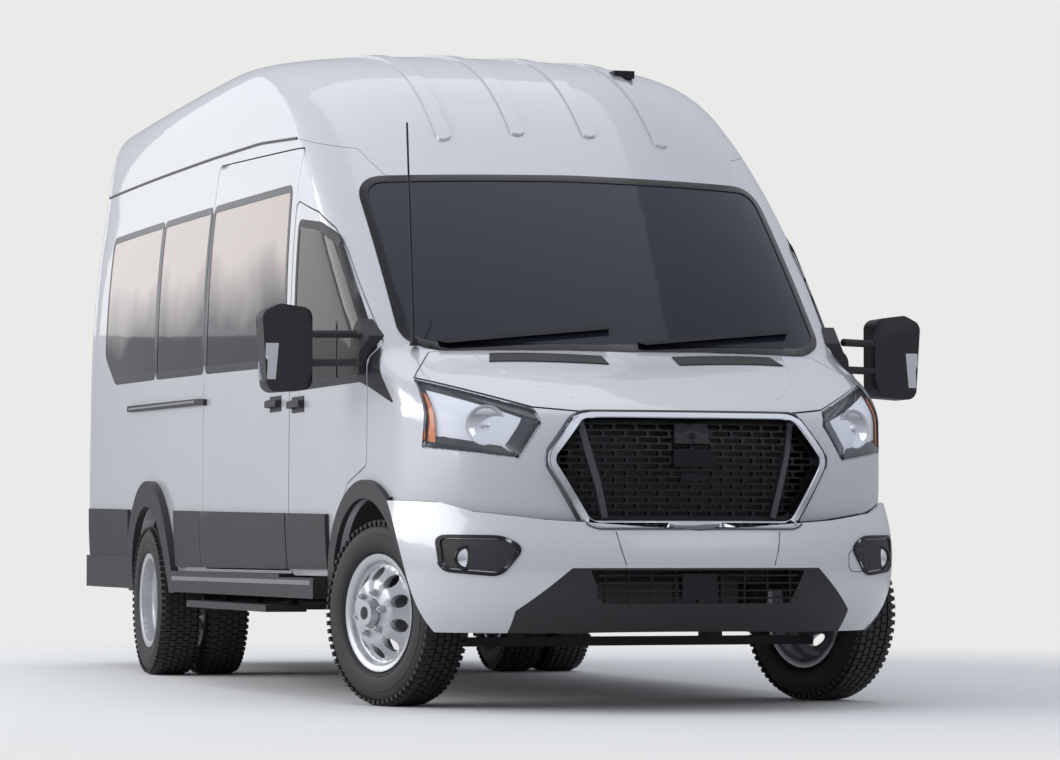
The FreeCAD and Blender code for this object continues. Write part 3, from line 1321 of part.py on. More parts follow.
# Knuckles that carry the front wheels, turned with them.
for tag, side in SIDES:
    out = "-" if side < 0 else ""
    pin = drum("kingpin_" + tag, "kingpin_radius", "kingpin_length", ("0", "0", "-kingpin_length / 2"),
               Vector(0, 0, 1))
    stub = drum("stub_" + tag, "stub_bore - tyre_fit", f"{FRONT_REACH} + dual_spacing / 2",
                ("0", "0", "0"), Vector(side, 0, 0))
    knuckle = joined("knuckle_" + tag, [pin, stub])
    knuckle.Placement = Placement(Vector(), Rotation(Vector(0, 0, 1), size("rest_steer")))
    place(knuckle, f"{out}kingpin_track / 2", FRONT_AXLE, "tyre_radius")
    node("knuckle_" + tag, knuckle)

# Mirrors on two arms, on the front doors.
MIRROR_SHARES = (-0.6354, 0.4851)
MIRROR_FOOT_SHARES = (0.9631, -0.6697)
MIRROR_HEAD_SHARES = ((1, -0.93), (0.1, -1), (0, 0.8), (0.35, 1), (1, 0.9))
MIRROR_Y = HALF_LENGTH * MIRROR_SHARES[0]
MIRROR_Z = HEIGHT * MIRROR_SHARES[1]
MIRROR_FOOT = Vector(HALF_WIDTH * MIRROR_FOOT_SHARES[0], HALF_LENGTH * MIRROR_FOOT_SHARES[1], MIRROR_Z)


def make_mirror():
    """Left mirror: foot on the door, two arms and the head."""
    reach = size("mirror_reach")
    width = size("mirror_width")
    depth = size("mirror_depth")
    half = size("mirror_height") / 2
    outline = [Vector(reach - width * inward, MIRROR_Z + half * up, 0) for inward, up in MIRROR_HEAD_SHARES]
    head = along_prism(outline, size("mirror_radius"), MIRROR_Y - depth / 2, MIRROR_Y + depth / 2)
    arms = []
    for step in (-1, 1):
        rise = Vector(0, 0, step * size("arm_spacing") / 2)
        start = MIRROR_FOOT + rise
        run = Vector(reach - width / 2, MIRROR_Y, MIRROR_Z) + rise - start
        arms.append(Part.makeCylinder(size("arm_radius"), run.Length, start, run))
    plate = proud_skin(size("trim") * 1.6, size("seat_gap"))
    foot = plate.common(across_prism(side_points(MIRROR_PLATE_SHARES), GAP, 0, -RIGHT_LOW))
    return head.fuse(arms + [foot])


mirror = make_mirror()
fixed("mirror_left", solids_of(mirror))
fixed("mirror_right", solids_of(mirror_x(mirror)))

# Inside the cab and the saloon. The rows of seats are shares of half the width.
CAB_ROW_SHARES = (-0.5, 0.5)
ROW_SHARES = ((-0.66, 0.14, 0.62), (-0.66, 0.14, 0.62), (-0.66, 0.14, 0.62), (-0.66, -0.2, 0.2, 0.66))
CAB_ROW_SHARE = -0.3968
FIRST_ROW_SHARE = -0.0984
level = size("floor_level") + size("floor_thick")
places = [(share, HALF_LENGTH * CAB_ROW_SHARE) for share in CAB_ROW_SHARES]
for number, row in enumerate(ROW_SHARES):
    places += [(share, HALF_LENGTH * FIRST_ROW_SHARE + number * size("row_pitch")) for share in row]
cushions = []
frames = []
for share, along in places:
    cushions += make_seat(HALF_WIDTH * share, along, level)
    frames.append(seat_frame(HALF_WIDTH * share, along, level))
fixed("seats", solids_of(Part.makeCompound(cushions)))
frames = Part.makeCompound(frames)
arch_radius = size("rear_arch") + size("liner") + size("seat_gap")
for side in (-1, 1):
    low, high = sorted((side * HALF_WIDTH, side * (size("rear_liner_inner") - size("seat_gap"))))
    frames = frames.cut(arch_drum(arch_radius, REAR_AXLE_Y, low, high))
fixed("seat_frames", solids_of(frames))
dash = across_prism(side_points(DASH_SHARES), DOOR_R / 2, -HALF_WIDTH, HALF_WIDTH)
SHELF_WIDTH_SHARE = 0.6796
STEERING_SHARES = (0.5, -0.5892, 0.4315)
COLUMN_RISE_SHARE = 0.75
shelf = across_prism(side_points(SHELF_SHARES), GAP, -HALF_WIDTH * SHELF_WIDTH_SHARE,
                     HALF_WIDTH * SHELF_WIDTH_SHARE)
wheel_centre = Vector(HALF_WIDTH * STEERING_SHARES[0], HALF_LENGTH * STEERING_SHARES[1],
                      HEIGHT * STEERING_SHARES[2])
column_axis = Vector(0, -1, -COLUMN_RISE_SHARE).normalize()
ring = hoop(size("wheel_ring"), size("wheel_rim_radius"), wheel_centre, column_axis)
column = Part.makeCylinder(size("wheel_rim_radius") * 1.5, size("wheel_ring"), wheel_centre, column_axis)
spoke = Part.makeCylinder(size("wheel_rim_radius") * 0.8, size("wheel_ring") * 2,
                          wheel_centre - Vector(size("wheel_ring"), 0, 0), Vector(1, 0, 0))
fixed("steering_wheel", ring.fuse([column, spoke]))
clear = Part.makeCylinder(size("wheel_rim_radius") * 1.5 + size("seat_gap"), size("wheel_ring") * 1.1,
                          wheel_centre, column_axis)
fixed("dashboard", solids_of(dash.common(envelope(size("wall") + size("latch_gap"))).fuse(shelf).cut(clear)))

# Small fittings.
MAST_SHARES = (-0.7913, -0.722, 0.4862)
MAST_LEAN_SHARE = 0.12
mast_foot = Vector(HALF_WIDTH * MAST_SHARES[0], HALF_LENGTH * MAST_SHARES[1], HEIGHT * MAST_SHARES[2])
mast = Part.makeCylinder(size("mast_radius"), size("mast_height"), mast_foot, Vector(0, MAST_LEAN_SHARE, 1))
foot = Part.makeCone(size("mast_foot"), size("mast_foot") / 2, size("mast_foot") * 1.6, mast_foot,
                     Vector(0, 0, 1))
fixed("antenna", mast.fuse(foot))

# Sill strips under the doors, and the cladding above them in pieces between the arches.
SILL_INNER_SHARE = 0.9301
SILL_FOOT_SHARE = 0.142
CLADDING_TOP_SHARE = 0.2704
steps = []
for side in (-1, 1):
    low, high = sorted((side * HALF_WIDTH * SILL_INNER_SHARE, side * (HALF_WIDTH + size("step_depth") / 6)))
    end = REAR_AXLE_Y - size("rear_flare") - GAP
    strip = slab((low, FRONT_AXLE_Y + size("front_flare") + GAP, HEIGHT * SILL_FOOT_SHARE),
                 (high, end, SKIRT - GAP * 2 - GAP / 2))
    riser = slab((low, HINGE_POST + GAP, SKIRT - GAP * 3), (high, end, SKIRT - size("seat_gap")))
    steps.append(strip.fuse(riser))
cladding = []
skin = proud_skin(size("trim"), size("seat_gap"))
slide_edge = HALF_LENGTH * SLIDING_DOOR_SHARES[0][0]
CLADDING_RUNS = (
    (WING_BACK, HINGE_POST - size("latch_gap")),
    (HINGE_POST + GAP / 2, slide_edge - GAP / 2),
    (slide_edge + GAP / 2, REAR_AXLE_Y - size("rear_flare") - GAP),
    (REAR_AXLE_Y + size("rear_flare") + GAP, REAR_FACE - size("corner_radius")))
for low, high in CLADDING_RUNS:
    foot = SKIRT + GAP * 3 if low < REAR_AXLE_Y else HEIGHT * BUMPER_TOP_REAR_SHARE + size("seat_gap")
    front_top, rear_top = (HEIGHT * CLADDING_TOP_SHARE + size("cladding_rise") * along / HALF_LENGTH
                           for along in (low, high))
    outline = [Vector(low, foot, 0), Vector(high, foot, 0), Vector(high, rear_top, 0),
               Vector(low, front_top, 0)]
    cladding.append(skin.common(across_prism(outline, GAP, RIGHT_LOW * 2, -RIGHT_LOW * 2)))
fixed("door_cladding_right", solids_of(cladding[0].common(slab((RIGHT_LOW * 2, -FAR, 0), (0, FAR, FAR)))))
fixed("door_cladding_left", solids_of(cladding[0].common(slab((0, -FAR, 0), (-RIGHT_LOW * 2, FAR, FAR)))))
roller = skin.common(across_prism(side_points(ROLLER_SHARES), GAP, RIGHT_LOW * 2, 0))
track = skin.common(across_prism(side_points(TRACK_SHARES), GAP, RIGHT_LOW * 2, 0))
fixed("side_cladding", solids_of(Part.makeCompound(cladding[1:] + [track, roller])))

# Step board below the sliding door, on three legs.
BOARD_X_SHARES = (-1.0728, -0.9078)
BOARD_Y_SHARES = (-0.3699, 0.0835)
BOARD_LEG_SHARES = (-0.3282, -0.1432, 0.0418)
BOARD_LEG_X_SHARE = -0.932
BOARD_FOOT_SHARE = 0.1205
board_foot = HEIGHT * BOARD_FOOT_SHARE
outer, inner = (HALF_WIDTH * share for share in BOARD_X_SHARES)
start, end = (HALF_LENGTH * share for share in BOARD_Y_SHARES)
board = slab((outer, start, board_foot), (inner, end, board_foot + size("step_thick")))
legs = []
for share in BOARD_LEG_SHARES:
    along = HALF_LENGTH * share
    legs.append(slab((HALF_WIDTH * BOARD_LEG_X_SHARE, along, board_foot),
                     (inner, along + size("cross_width"), HEIGHT * SILL_FOOT_SHARE - size("seat_gap"))))
fixed("sills", solids_of(Part.makeCompound(steps + [board.fuse(legs)])))
TAIL_LAMP_SHARES = ((0.8786, 0.9369), (0.3236, 0.4513))
inner, outer = (HALF_WIDTH * share for share in TAIL_LAMP_SHARES[0])
foot, top = (HEIGHT * share for share in TAIL_LAMP_SHARES[1])
fixed("tail_lamps", both(slab((inner, REAR_FACE, foot), (outer, REAR_FACE + size("trim"), top))))

# Wipers that lie along the foot of the windscreen.
WIPER_SHARES = (((-0.7204, 0.4933), (-0.6796, 0.4898), (-0.0583, 0.512), (-0.0621, 0.5178)),
                ((0.0194, 0.4933), (0.0602, 0.4898), (0.6816, 0.512), (0.6777, 0.5178)))
blades = [skin.common(along_prism(front_points(shares), size("wiper_width") / 5, -FAR, SCREEN_BACK))
          for shares in WIPER_SHARES]
fixed("wipers", solids_of(Part.makeCompound(blades)))

doc.recompute()
for thing in doc.Objects:
    if "Invalid" in thing.State or "Error" in thing.State:
        raise RuntimeError(f"{thing.Name} failed")
for name, thing in NODES.items():
    if thing.Shape.isNull() or not thing.Shape.isValid():
        raise RuntimeError(f"{name} has no valid shape")
os.makedirs("parts", exist_ok=True)
for name, thing in NODES.items():
    thing.Shape.exportStep(f"parts/{name}.step")
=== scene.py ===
import json
import logging
import math
from dataclasses import dataclass
from enum import Enum
from typing import Any, Callable, Iterable, Sequence

import bmesh
import bpy
from mathutils import Matrix, Vector
from mathutils.bvhtree import BVHTree

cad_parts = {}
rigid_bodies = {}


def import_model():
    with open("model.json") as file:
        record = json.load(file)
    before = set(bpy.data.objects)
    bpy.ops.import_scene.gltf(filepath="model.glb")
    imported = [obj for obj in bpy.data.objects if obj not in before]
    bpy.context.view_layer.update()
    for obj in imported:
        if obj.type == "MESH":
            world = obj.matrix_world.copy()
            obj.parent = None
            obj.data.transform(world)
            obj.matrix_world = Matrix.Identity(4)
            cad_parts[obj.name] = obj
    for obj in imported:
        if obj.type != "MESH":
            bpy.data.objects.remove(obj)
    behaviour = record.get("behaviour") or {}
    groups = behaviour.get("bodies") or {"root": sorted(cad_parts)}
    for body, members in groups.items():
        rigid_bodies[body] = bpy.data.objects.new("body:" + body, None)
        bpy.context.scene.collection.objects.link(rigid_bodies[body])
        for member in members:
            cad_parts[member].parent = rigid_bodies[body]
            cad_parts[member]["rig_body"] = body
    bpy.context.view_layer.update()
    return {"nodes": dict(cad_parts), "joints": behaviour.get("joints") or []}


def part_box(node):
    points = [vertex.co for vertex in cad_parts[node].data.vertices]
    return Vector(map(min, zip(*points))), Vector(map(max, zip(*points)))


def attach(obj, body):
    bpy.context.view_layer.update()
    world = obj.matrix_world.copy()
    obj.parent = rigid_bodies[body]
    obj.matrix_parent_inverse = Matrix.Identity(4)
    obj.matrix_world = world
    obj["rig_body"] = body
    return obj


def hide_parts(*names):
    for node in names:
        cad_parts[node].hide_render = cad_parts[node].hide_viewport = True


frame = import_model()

LOG = logging.getLogger("minibus")

Colour = tuple[float, float, float]
Flat = tuple[float, float]
Spot = tuple[float, float, float]
Outline = tuple[Flat, ...]
RIGHT = -1
LEFT = 1
SIDES = {RIGHT: "right", LEFT: "left"}
UP = Vector((0, 0, 1))
OUT_OF_REACH = 4.0
NOSE_REACH_SHARE = 1.2
SKIN_SHARE = 0.76
SMOOTH_ANGLE = math.radians(32)
WELD = 1e-5
POLE = 0.0005


class Body(str, Enum):
    """Rigid bodies of the frame."""

    BODY = "body"
    HOOD = "hood"
    FRONT_DOOR = "front_door"
    REAR_DOOR = "rear_door"
    FRONT_WHEEL = "front_wheel"
    REAR_WHEELS = "rear_wheels"

    def on(self, side: int) -> str:
        """Name of the body of this kind on one side."""
        return f"{self.value}_{SIDES[side]}"


class Slot(str, Enum):
    """Material slots of the record."""

    PAINT = "paint"
    GLASS = "glass"
    CLEAR = "clear"
    BLACK = "black"
    CHROME = "chrome"
    STEEL = "steel"
    CHASSIS = "chassis"
    IRON = "iron"
    TYRE = "tyre"
    FABRIC = "fabric"
    RED = "red"


class Socket:
    """Output of a node; sums and products of it add Math nodes to its tree."""

    def __init__(self, graph: "Graph", link: bpy.types.NodeSocket) -> None:
        """Keep the tree and the socket."""
        self.graph = graph
        self.link = link

    def _math(self, operation: str, left: Any, right: Any) -> "Socket":
        """Math node of two values."""
        return self.graph.node("ShaderNodeMath", {"operation": operation}, {0: left, 1: right})

    def __add__(self, other: Any) -> "Socket":
        """This plus another."""
        return self._math("ADD", self, other)

    def __radd__(self, other: Any) -> "Socket":
        """Another plus this."""
        return self._math("ADD", other, self)

    def __sub__(self, other: Any) -> "Socket":
        """This less another."""
        return self._math("SUBTRACT", self, other)

    def __rsub__(self, other: Any) -> "Socket":
        """Another less this."""
        return self._math("SUBTRACT", other, self)

    def __mul__(self, other: Any) -> "Socket":
        """This times another."""
        return self._math("MULTIPLY", self, other)

    def __rmul__(self, other: Any) -> "Socket":
        """Another times this."""
        return self._math("MULTIPLY", other, self)

    def __truediv__(self, other: Any) -> "Socket":
        """This over another."""
        return self._math("DIVIDE", self, other)

    def __rtruediv__(self, other: Any) -> "Socket":
        """Another over this."""
        return self._math("DIVIDE", other, self)

    def __pow__(self, other: Any) -> "Socket":
        """This to a power."""
        return self._math("POWER", self, other)


class Graph:
    """Node tree that is filled by one method."""

    def __init__(self, tree: bpy.types.NodeTree) -> None:
        """Start with an empty tree."""
        self.tree = tree
        self.tree.nodes.clear()

    def node(self, kind: str, settings: dict[str, Any], sockets: dict[Any, Any],
             output: Any = 0) -> Socket:
        """Add a node.

        Args:
            kind: The node's type.
            settings: Its properties, and the stops of a ramp.
            sockets: Values or links by the input's name or number.
            output: The output's name or number.

        Returns:
            The node's output.
        """
        made = self.tree.nodes.new(kind)
        for key, value in settings.items():
            if key == "stops":
                self._stops(made.color_ramp, value)
            else:
                setattr(made, key, value)
        for key, value in sockets.items():
            if isinstance(value, Socket):
                self.tree.links.new(value.link, made.inputs[key])
            elif len(getattr(made.inputs[key], "default_value", ()) if isinstance(value, tuple) else ()) == 4:
                made.inputs[key].default_value = (*value[:3], 1.0)
            else:
                made.inputs[key].default_value = value
        return Socket(self, made.outputs[output]) if made.outputs else Socket(self, made.inputs[0])

    @staticmethod
    def _stops(ramp: bpy.types.ColorRamp, stops: Sequence[tuple[float, Colour]]) -> None:
        """Set the stops of a colour ramp.

        Args:
            ramp: The ramp to fill.
            stops: Place and colour of each stop.
        """
        while len(ramp.elements) < len(stops):
            ramp.elements.new(1.0)
        for element, (place, colour) in zip(ramp.elements, stops):
            element.position = place
            element.color = (*colour, 1.0)

    def mix(self, factor: Any, low: Any, high: Any) -> Socket:
        """Blend two colours by a factor."""
        return self.node("ShaderNodeMix", {"data_type": "RGBA"}, {0: factor, 6: low, 7: high}, 2)

    def place(self) -> Socket:
        """Point of the piece in the frame."""
        return self.node("ShaderNodeTexCoord", {}, {}, "Object")

    def noise(self, scale: float, detail: float = 2.0) -> Socket:
        """Soft noise of a scale over the piece."""
        return self.node("ShaderNodeTexNoise", {}, {"Vector": self.place(), "Scale": scale, "Detail": detail})

    def along(self, axis: int) -> Socket:
        """Coordinate of the piece along one axis, in metres."""
        return self.node("ShaderNodeSeparateXYZ", {}, {0: self.place()}, axis)

    def within(self, value: Any, low: float, high: float) -> Socket:
        """Value mapped from low and high to 0 and 1, and kept there."""
        return self.node("ShaderNodeMapRange", {"clamp": True}, {0: value, 1: low, 2: high, 3: 0.0, 4: 1.0})


@dataclass(frozen=True)
class Finish:
    """Look of one kind of surface: plain colour with a little unevenness and grain."""

    name: str
    slot: Slot
    colour: Colour
    roughness: float = 0.5
    metallic: float = 0.0
    coat: float = 0.0
    specular: float = 0.5
    alpha: float = 1.0
    tint: float = 0.04
    patch: float = 3.0
    grain: float = 0.0
    grain_scale: float = 600.0

    def vary(self, graph: Graph) -> dict[str, Any]:
        """What changes over the surface.

        Args:
            graph: The material's tree.

        Returns:
            Sockets of the main shader by name.
        """
        cloud = graph.noise(self.patch)
        dark = tuple(part * (1 - self.tint) for part in self.colour)
        light = tuple(min(1.0, part * (1 + self.tint)) for part in self.colour)
        varied: dict[str, Any] = {"Base Color": graph.mix(cloud, dark, light),
                                  "Roughness": self.roughness + (cloud - 0.5) * self.tint}
        if self.grain:
            height = graph.noise(self.grain_scale)
            varied["Normal"] = graph.node("ShaderNodeBump", {}, {"Strength": self.grain, "Distance": 0.0006,
                                                                 "Height": height})
        return varied

    def build(self) -> bpy.types.Material:
        """Material of this finish, made once.

        Returns:
            The material.
        """
        found = bpy.data.materials.get(self.name)
        if found:
            return found
        material = bpy.data.materials.new(self.name)
        material.use_nodes = True
        graph = Graph(material.node_tree)
        constant = {"Base Color": self.colour, "Roughness": self.roughness, "Metallic": self.metallic,
                    "Coat Weight": self.coat, "Specular IOR Level": self.specular, "Alpha": self.alpha}
        shader = graph.node("ShaderNodeBsdfPrincipled", {}, constant | self.vary(graph))
        graph.node("ShaderNodeOutputMaterial", {}, {"Surface": shader})
        return material


@dataclass(frozen=True)
class GlassFinish(Finish):
    """Tinted pane with a painted reflection that lightens its colour from its foot to its head."""

    foot: float = 1.3
    head: float = 2.1
    painted_reflection_colour: Colour = (0.05, 0.05, 0.06)
    painted_horizon_ridge: float = 0.0

    def vary(self, graph: Graph) -> dict[str, Any]:
        """Painted reflection by height: the pane's own tint at the foot, a lighter painted sky at the head.

        Args:
            graph: The material's tree.

        Returns:
            Sockets of the main shader by name.
        """
        # painted reflection: where the ridge is set, noise bends the foot of the painted sky into a painted
        # horizon of hills
        level = graph.along(2) + (graph.noise(1.7) - 0.5) * self.painted_horizon_ridge
        rise = graph.within(level, self.foot, self.head)
        return {"Base Color": graph.mix(rise, self.colour, self.painted_reflection_colour)}


@dataclass(frozen=True)
class ClothFinish(Finish):
    """Woven seat cloth."""

    weave: float = 260.0

    def vary(self, graph: Graph) -> dict[str, Any]:
        """Weave of two crossing waves.

        Args:
            graph: The material's tree.

        Returns:
            Sockets of the main shader by name.
        """
        across = graph.node("ShaderNodeTexWave", {"bands_direction": "X"},
                            {"Vector": graph.place(), "Scale": self.weave})
        down = graph.node("ShaderNodeTexWave", {"bands_direction": "Z"},
                          {"Vector": graph.place(), "Scale": self.weave})
        height = across * 0.5 + down * 0.5
        dark = tuple(part * 0.7 for part in self.colour)
        bump = graph.node("ShaderNodeBump", {}, {"Strength": 0.3, "Distance": 0.0006, "Height": height})
        return {"Base Color": graph.mix(height, dark, self.colour), "Normal": bump}


PAINT = Finish("silver_white_paint", Slot.PAINT, (0.62, 0.63, 0.66), 0.34, 0.18, coat=1.0, tint=0.015,
               grain=0.02, grain_scale=2500)
PRIMER = Finish("inner_lining", Slot.PAINT, (0.16, 0.165, 0.17), 0.8)
BLACK = Finish("grained_black", Slot.BLACK, (0.018, 0.018, 0.02), 0.55, grain=0.25, grain_scale=900)
SATIN_BLACK = Finish("satin_black", Slot.BLACK, (0.010, 0.010, 0.012), 0.4, specular=0.3)
GLOSS_BLACK = Finish("gloss_black", Slot.BLACK, (0.006, 0.006, 0.008), 0.2, specular=0.35)
GREY_BAR = Finish("dark_grey_bar", Slot.BLACK, (0.07, 0.072, 0.078), 0.35)
CHROME = Finish("satin_chrome", Slot.CHROME, (0.62, 0.63, 0.66), 0.2, 1.0)
BRIGHT = Finish("mirror_chrome", Slot.CHROME, (0.86, 0.88, 0.92), 0.05, 1.0)
STEEL = Finish("wheel_silver", Slot.STEEL, (0.52, 0.53, 0.55), 0.34, 0.55, tint=0.03, grain=0.05)
CHASSIS = Finish("chassis_black", Slot.CHASSIS, (0.016, 0.016, 0.018), 0.6)
IRON = Finish("bare_casting", Slot.IRON, (0.12, 0.12, 0.125), 0.6, 0.6, tint=0.2, grain=0.3)
RUBBER = Finish("tyre_rubber", Slot.TYRE, (0.014, 0.014, 0.015), 0.62, tint=0.15, grain=0.2)
LENS = Finish("clear_lens", Slot.CLEAR, (0.80, 0.85, 0.95), 0.03, alpha=0.05, specular=0.4, tint=0.0)
AMBER = Finish("amber_reflector", Slot.RED, (0.75, 0.20, 0.05), 0.25, coat=0.7, grain=0.4, grain_scale=220)
RED = Finish("red_lamp", Slot.RED, (0.42, 0.012, 0.015), 0.2, coat=0.8)
LAMP_GREY = Finish("lamp_inner_silver", Slot.CHROME, (0.90, 0.93, 1.0), 0.35)
SILVER = Finish("silver_strip", Slot.BLACK, (0.22, 0.22, 0.23), 0.45, 0.3)
# Glass panes lighten towards the top in a painted reflection of the sky; the side glass also gets a painted
# horizon of hills.
SCREEN_GLASS = GlassFinish("windscreen_glass_painted_reflection", Slot.GLASS, (0.020, 0.024, 0.036), 0.05, alpha=0.95,
                           specular=0.22, painted_reflection_colour=(0.034, 0.039, 0.056))
SIDE_GLASS = GlassFinish("privacy_glass_painted_reflection", Slot.GLASS, (0.035, 0.034, 0.038), 0.04, alpha=0.97, specular=0.1,
                         foot=1.58, head=1.86, painted_reflection_colour=(0.60, 0.53, 0.485), painted_horizon_ridge=0.35)
DOOR_GLASS = GlassFinish("door_glass_painted_reflection", Slot.GLASS, (0.03, 0.028, 0.027), 0.04, alpha=0.93, specular=0.3,
                         painted_reflection_colour=(0.09, 0.075, 0.065))
CLOTH = ClothFinish("seat_cloth", Slot.FABRIC, (0.035, 0.037, 0.042), 0.9)


class Shell:
    """Points and faces before they become a mesh."""

    def __init__(self, points: Iterable[Vector] = (), faces: Iterable[Sequence[int]] = ()) -> None:
        """Keep copies of both lists."""
        self.points = [Vector(point) for point in points]
        self.faces = [tuple(face) for face in faces]

    @classmethod
    def of_mesh(cls, mesh: bpy.types.Mesh) -> "Shell":
        """Shell with a mesh's points and faces."""
        return cls([vertex.co for vertex in mesh.vertices], [face.vertices for face in mesh.polygons])

    @classmethod
    def joined(cls, shells: Iterable["Shell"]) -> "Shell":
        """All shells as one.

        Args:
            shells: The shells to join, in order.

        Returns:
            One shell with all their points and faces.
        """
        whole = cls()
        for shell in shells:
            start = len(whole.points)
            whole.points += shell.points
            whole.faces += [tuple(start + corner for corner in face) for face in shell.faces]
        return whole

    def moved(self, matrix: Matrix) -> "Shell":
        """The shell moved by a matrix, turned right side out after a mirroring.

        Args:
            matrix: The move.

        Returns:
            The moved copy.
        """
        flip = matrix.determinant() < 0
        faces = [face[::-1] for face in self.faces] if flip else self.faces
        return Shell([matrix @ point for point in self.points], faces)


def weld(mesh: bpy.types.Mesh, outward: bool) -> None:
    """Merge a mesh's double points.

    Args:
        mesh: The mesh to change.
        outward: Whether its faces are also turned outwards.
    """
    work = bmesh.new()
    work.from_mesh(mesh)
    bmesh.ops.remove_doubles(work, verts=work.verts, dist=WELD)
    if outward:
        bmesh.ops.recalc_face_normals(work, faces=work.faces)
    work.to_mesh(mesh)
    work.free()


def add_piece(name: str, shell: Shell, finish: Finish, body: str, nodes: Sequence[str] = (),
              sharp: float = SMOOTH_ANGLE) -> bpy.types.Object:
    """Make a finished piece that rides on a body.

    Args:
        name: The piece's name.
        shell: Its points and faces in the frame.
        finish: Its look.
        body: The body that it rides on.
        nodes: CAD nodes that it stands for.
        sharp: Angle between faces above which an edge stays sharp.

    Returns:
        The piece.
    """
    mesh = bpy.data.meshes.new(name)
    mesh.from_pydata([tuple(point) for point in shell.points], [], shell.faces)
    mesh.validate()
    weld(mesh, True)
    return dress(bpy.data.objects.new(name, mesh), finish, body, nodes, sharp)


def dress(piece: bpy.types.Object, finish: Finish, body: str, nodes: Sequence[str] = (),
          sharp: float = SMOOTH_ANGLE) -> bpy.types.Object:
    """Give a new object its finish, smooth shading and body, and report it.

    Args:
        piece: The new object.
        finish: Its look.
        body: The body that it rides on.
        nodes: CAD nodes that it stands for.
        sharp: Angle between faces above which an edge stays sharp.

    Returns:
        The same object.
    """
    bpy.context.scene.collection.objects.link(piece)
    piece.data.materials.clear()
    piece.data.materials.append(finish.build())
    piece.data.shade_smooth()
    piece.data.set_sharp_from_angle(angle=sharp)
    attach(piece, body)
    if nodes:
        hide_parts(*nodes)
    LOG.info("%s: %d faces on %s", piece.name, len(piece.data.polygons), body)
    return piece


def lathe(profile: Sequence[Flat], segments: int = 64) -> Shell:
    """Turn a closed profile of radius and height about Z.

    Args:
        profile: Corners of the profile in order.
        segments: Steps round the axis.

    Returns:
        The closed ring.
    """
    count = len(profile)
    points = []
    faces = []
    for step in range(segments):
        turn = 2 * math.pi * step / segments
        points += [Vector((radius * math.cos(turn), radius * math.sin(turn), height))
                   for radius, height in profile]
        here = step * count
        there = (step + 1) % segments * count
        for index in range(count):
            after = (index + 1) % count
            faces.append((here + index, here + after, there + after, there + index))
    return Shell(points, faces)


def bar(low: Vector, high: Vector) -> Shell:
    """Box between two corners."""
    xs, ys, zs = ((low[axis], high[axis]) for axis in range(3))
    points = [Vector((x, y, z)) for z in zs for y in ys for x in xs]
    return Shell(points, [(0, 2, 3, 1), (4, 5, 7, 6), (0, 1, 5, 4), (2, 6, 7, 3), (0, 4, 6, 2), (1, 3, 7, 5)])


def shift(across: float, along: float, level: float) -> Matrix:
    """Move by three distances."""
    return Matrix.Translation((across, along, level))


def facing(place: Vector, out: Vector) -> Matrix:
    """Move from the origin to a place, with Z turned to a direction."""
    return Matrix.Translation(place) @ UP.rotation_difference(out).to_matrix().to_4x4()


def flat_points(pairs: Sequence[Flat]) -> list[Vector]:
    """Pairs as flat points."""
    return [Vector((pair[0], pair[1], 0)) for pair in pairs]


def flip(pairs: Sequence[Flat], side: int) -> list[Flat]:
    """Outline whose first part is measured across, put on one side."""
    return [(side * pair[0], pair[1]) for pair in pairs]


def rounded_path(corners: Sequence[Flat], radius: float, closed: bool = True, steps: int = 6,
                 spacing: float = 0.05) -> list[Vector]:
    """Follow corners with round turns, at an even spacing on the straights.

    Args:
        corners: Corners as pairs.
        radius: Distance from a corner at which its turn begins.
        closed: Whether the path comes back to its start.
        steps: Points in each turn.
        spacing: Longest straight step.

    Returns:
        Points of the path, with zero as their third part.
    """
    flat = flat_points(corners)
    count = len(flat)
    turns = []
    for index, here in enumerate(flat):
        if not closed and index in (0, count - 1):
            turns.append([here])
            continue
        before = flat[index - 1] - here
        after = flat[(index + 1) % count] - here
        begin = here + before.normalized() * min(radius, before.length * 0.45)
        end = here + after.normalized() * min(radius, after.length * 0.45)
        turns.append([begin.lerp(here, share).lerp(here.lerp(end, share), share)
                      for share in (step / steps for step in range(steps + 1))])
    path: list[Vector] = []
    for index, turn in enumerate(turns):
        path += turn
        if not closed and index == count - 1:
            break
        start = turn[-1]
        goal = turns[(index + 1) % count][0]
        pieces = max(1, math.ceil((goal - start).length / spacing))
        path += [start.lerp(goal, step / pieces) for step in range(1, pieces)]
    return path


class Surface:
    """Outside of some CAD nodes, on which trim is laid."""

    def __init__(self, nodes: Sequence[str]) -> None:
        """Gather the nodes' triangles."""
        whole = Shell.joined(Shell.of_mesh(frame["nodes"][node].data) for node in nodes)
        self.tree = BVHTree.FromPolygons(whole.points, whole.faces)

    def meet(self, start: Vector, way: Vector) -> tuple[Vector, Vector]:
        """Where a line from outside first meets the surface.

        Args:
            start: Point outside the surface.
            way: Direction of the line.

        Returns:
            The point and the direction out of the surface.
        """
        point, normal, _, _ = self.tree.ray_cast(start, way)
        if point is None:
            point, normal, _, _ = self.tree.find_nearest(start + way * OUT_OF_REACH * SKIN_SHARE)
        if normal.dot(way) > 0:
            normal = -normal
        return point, normal


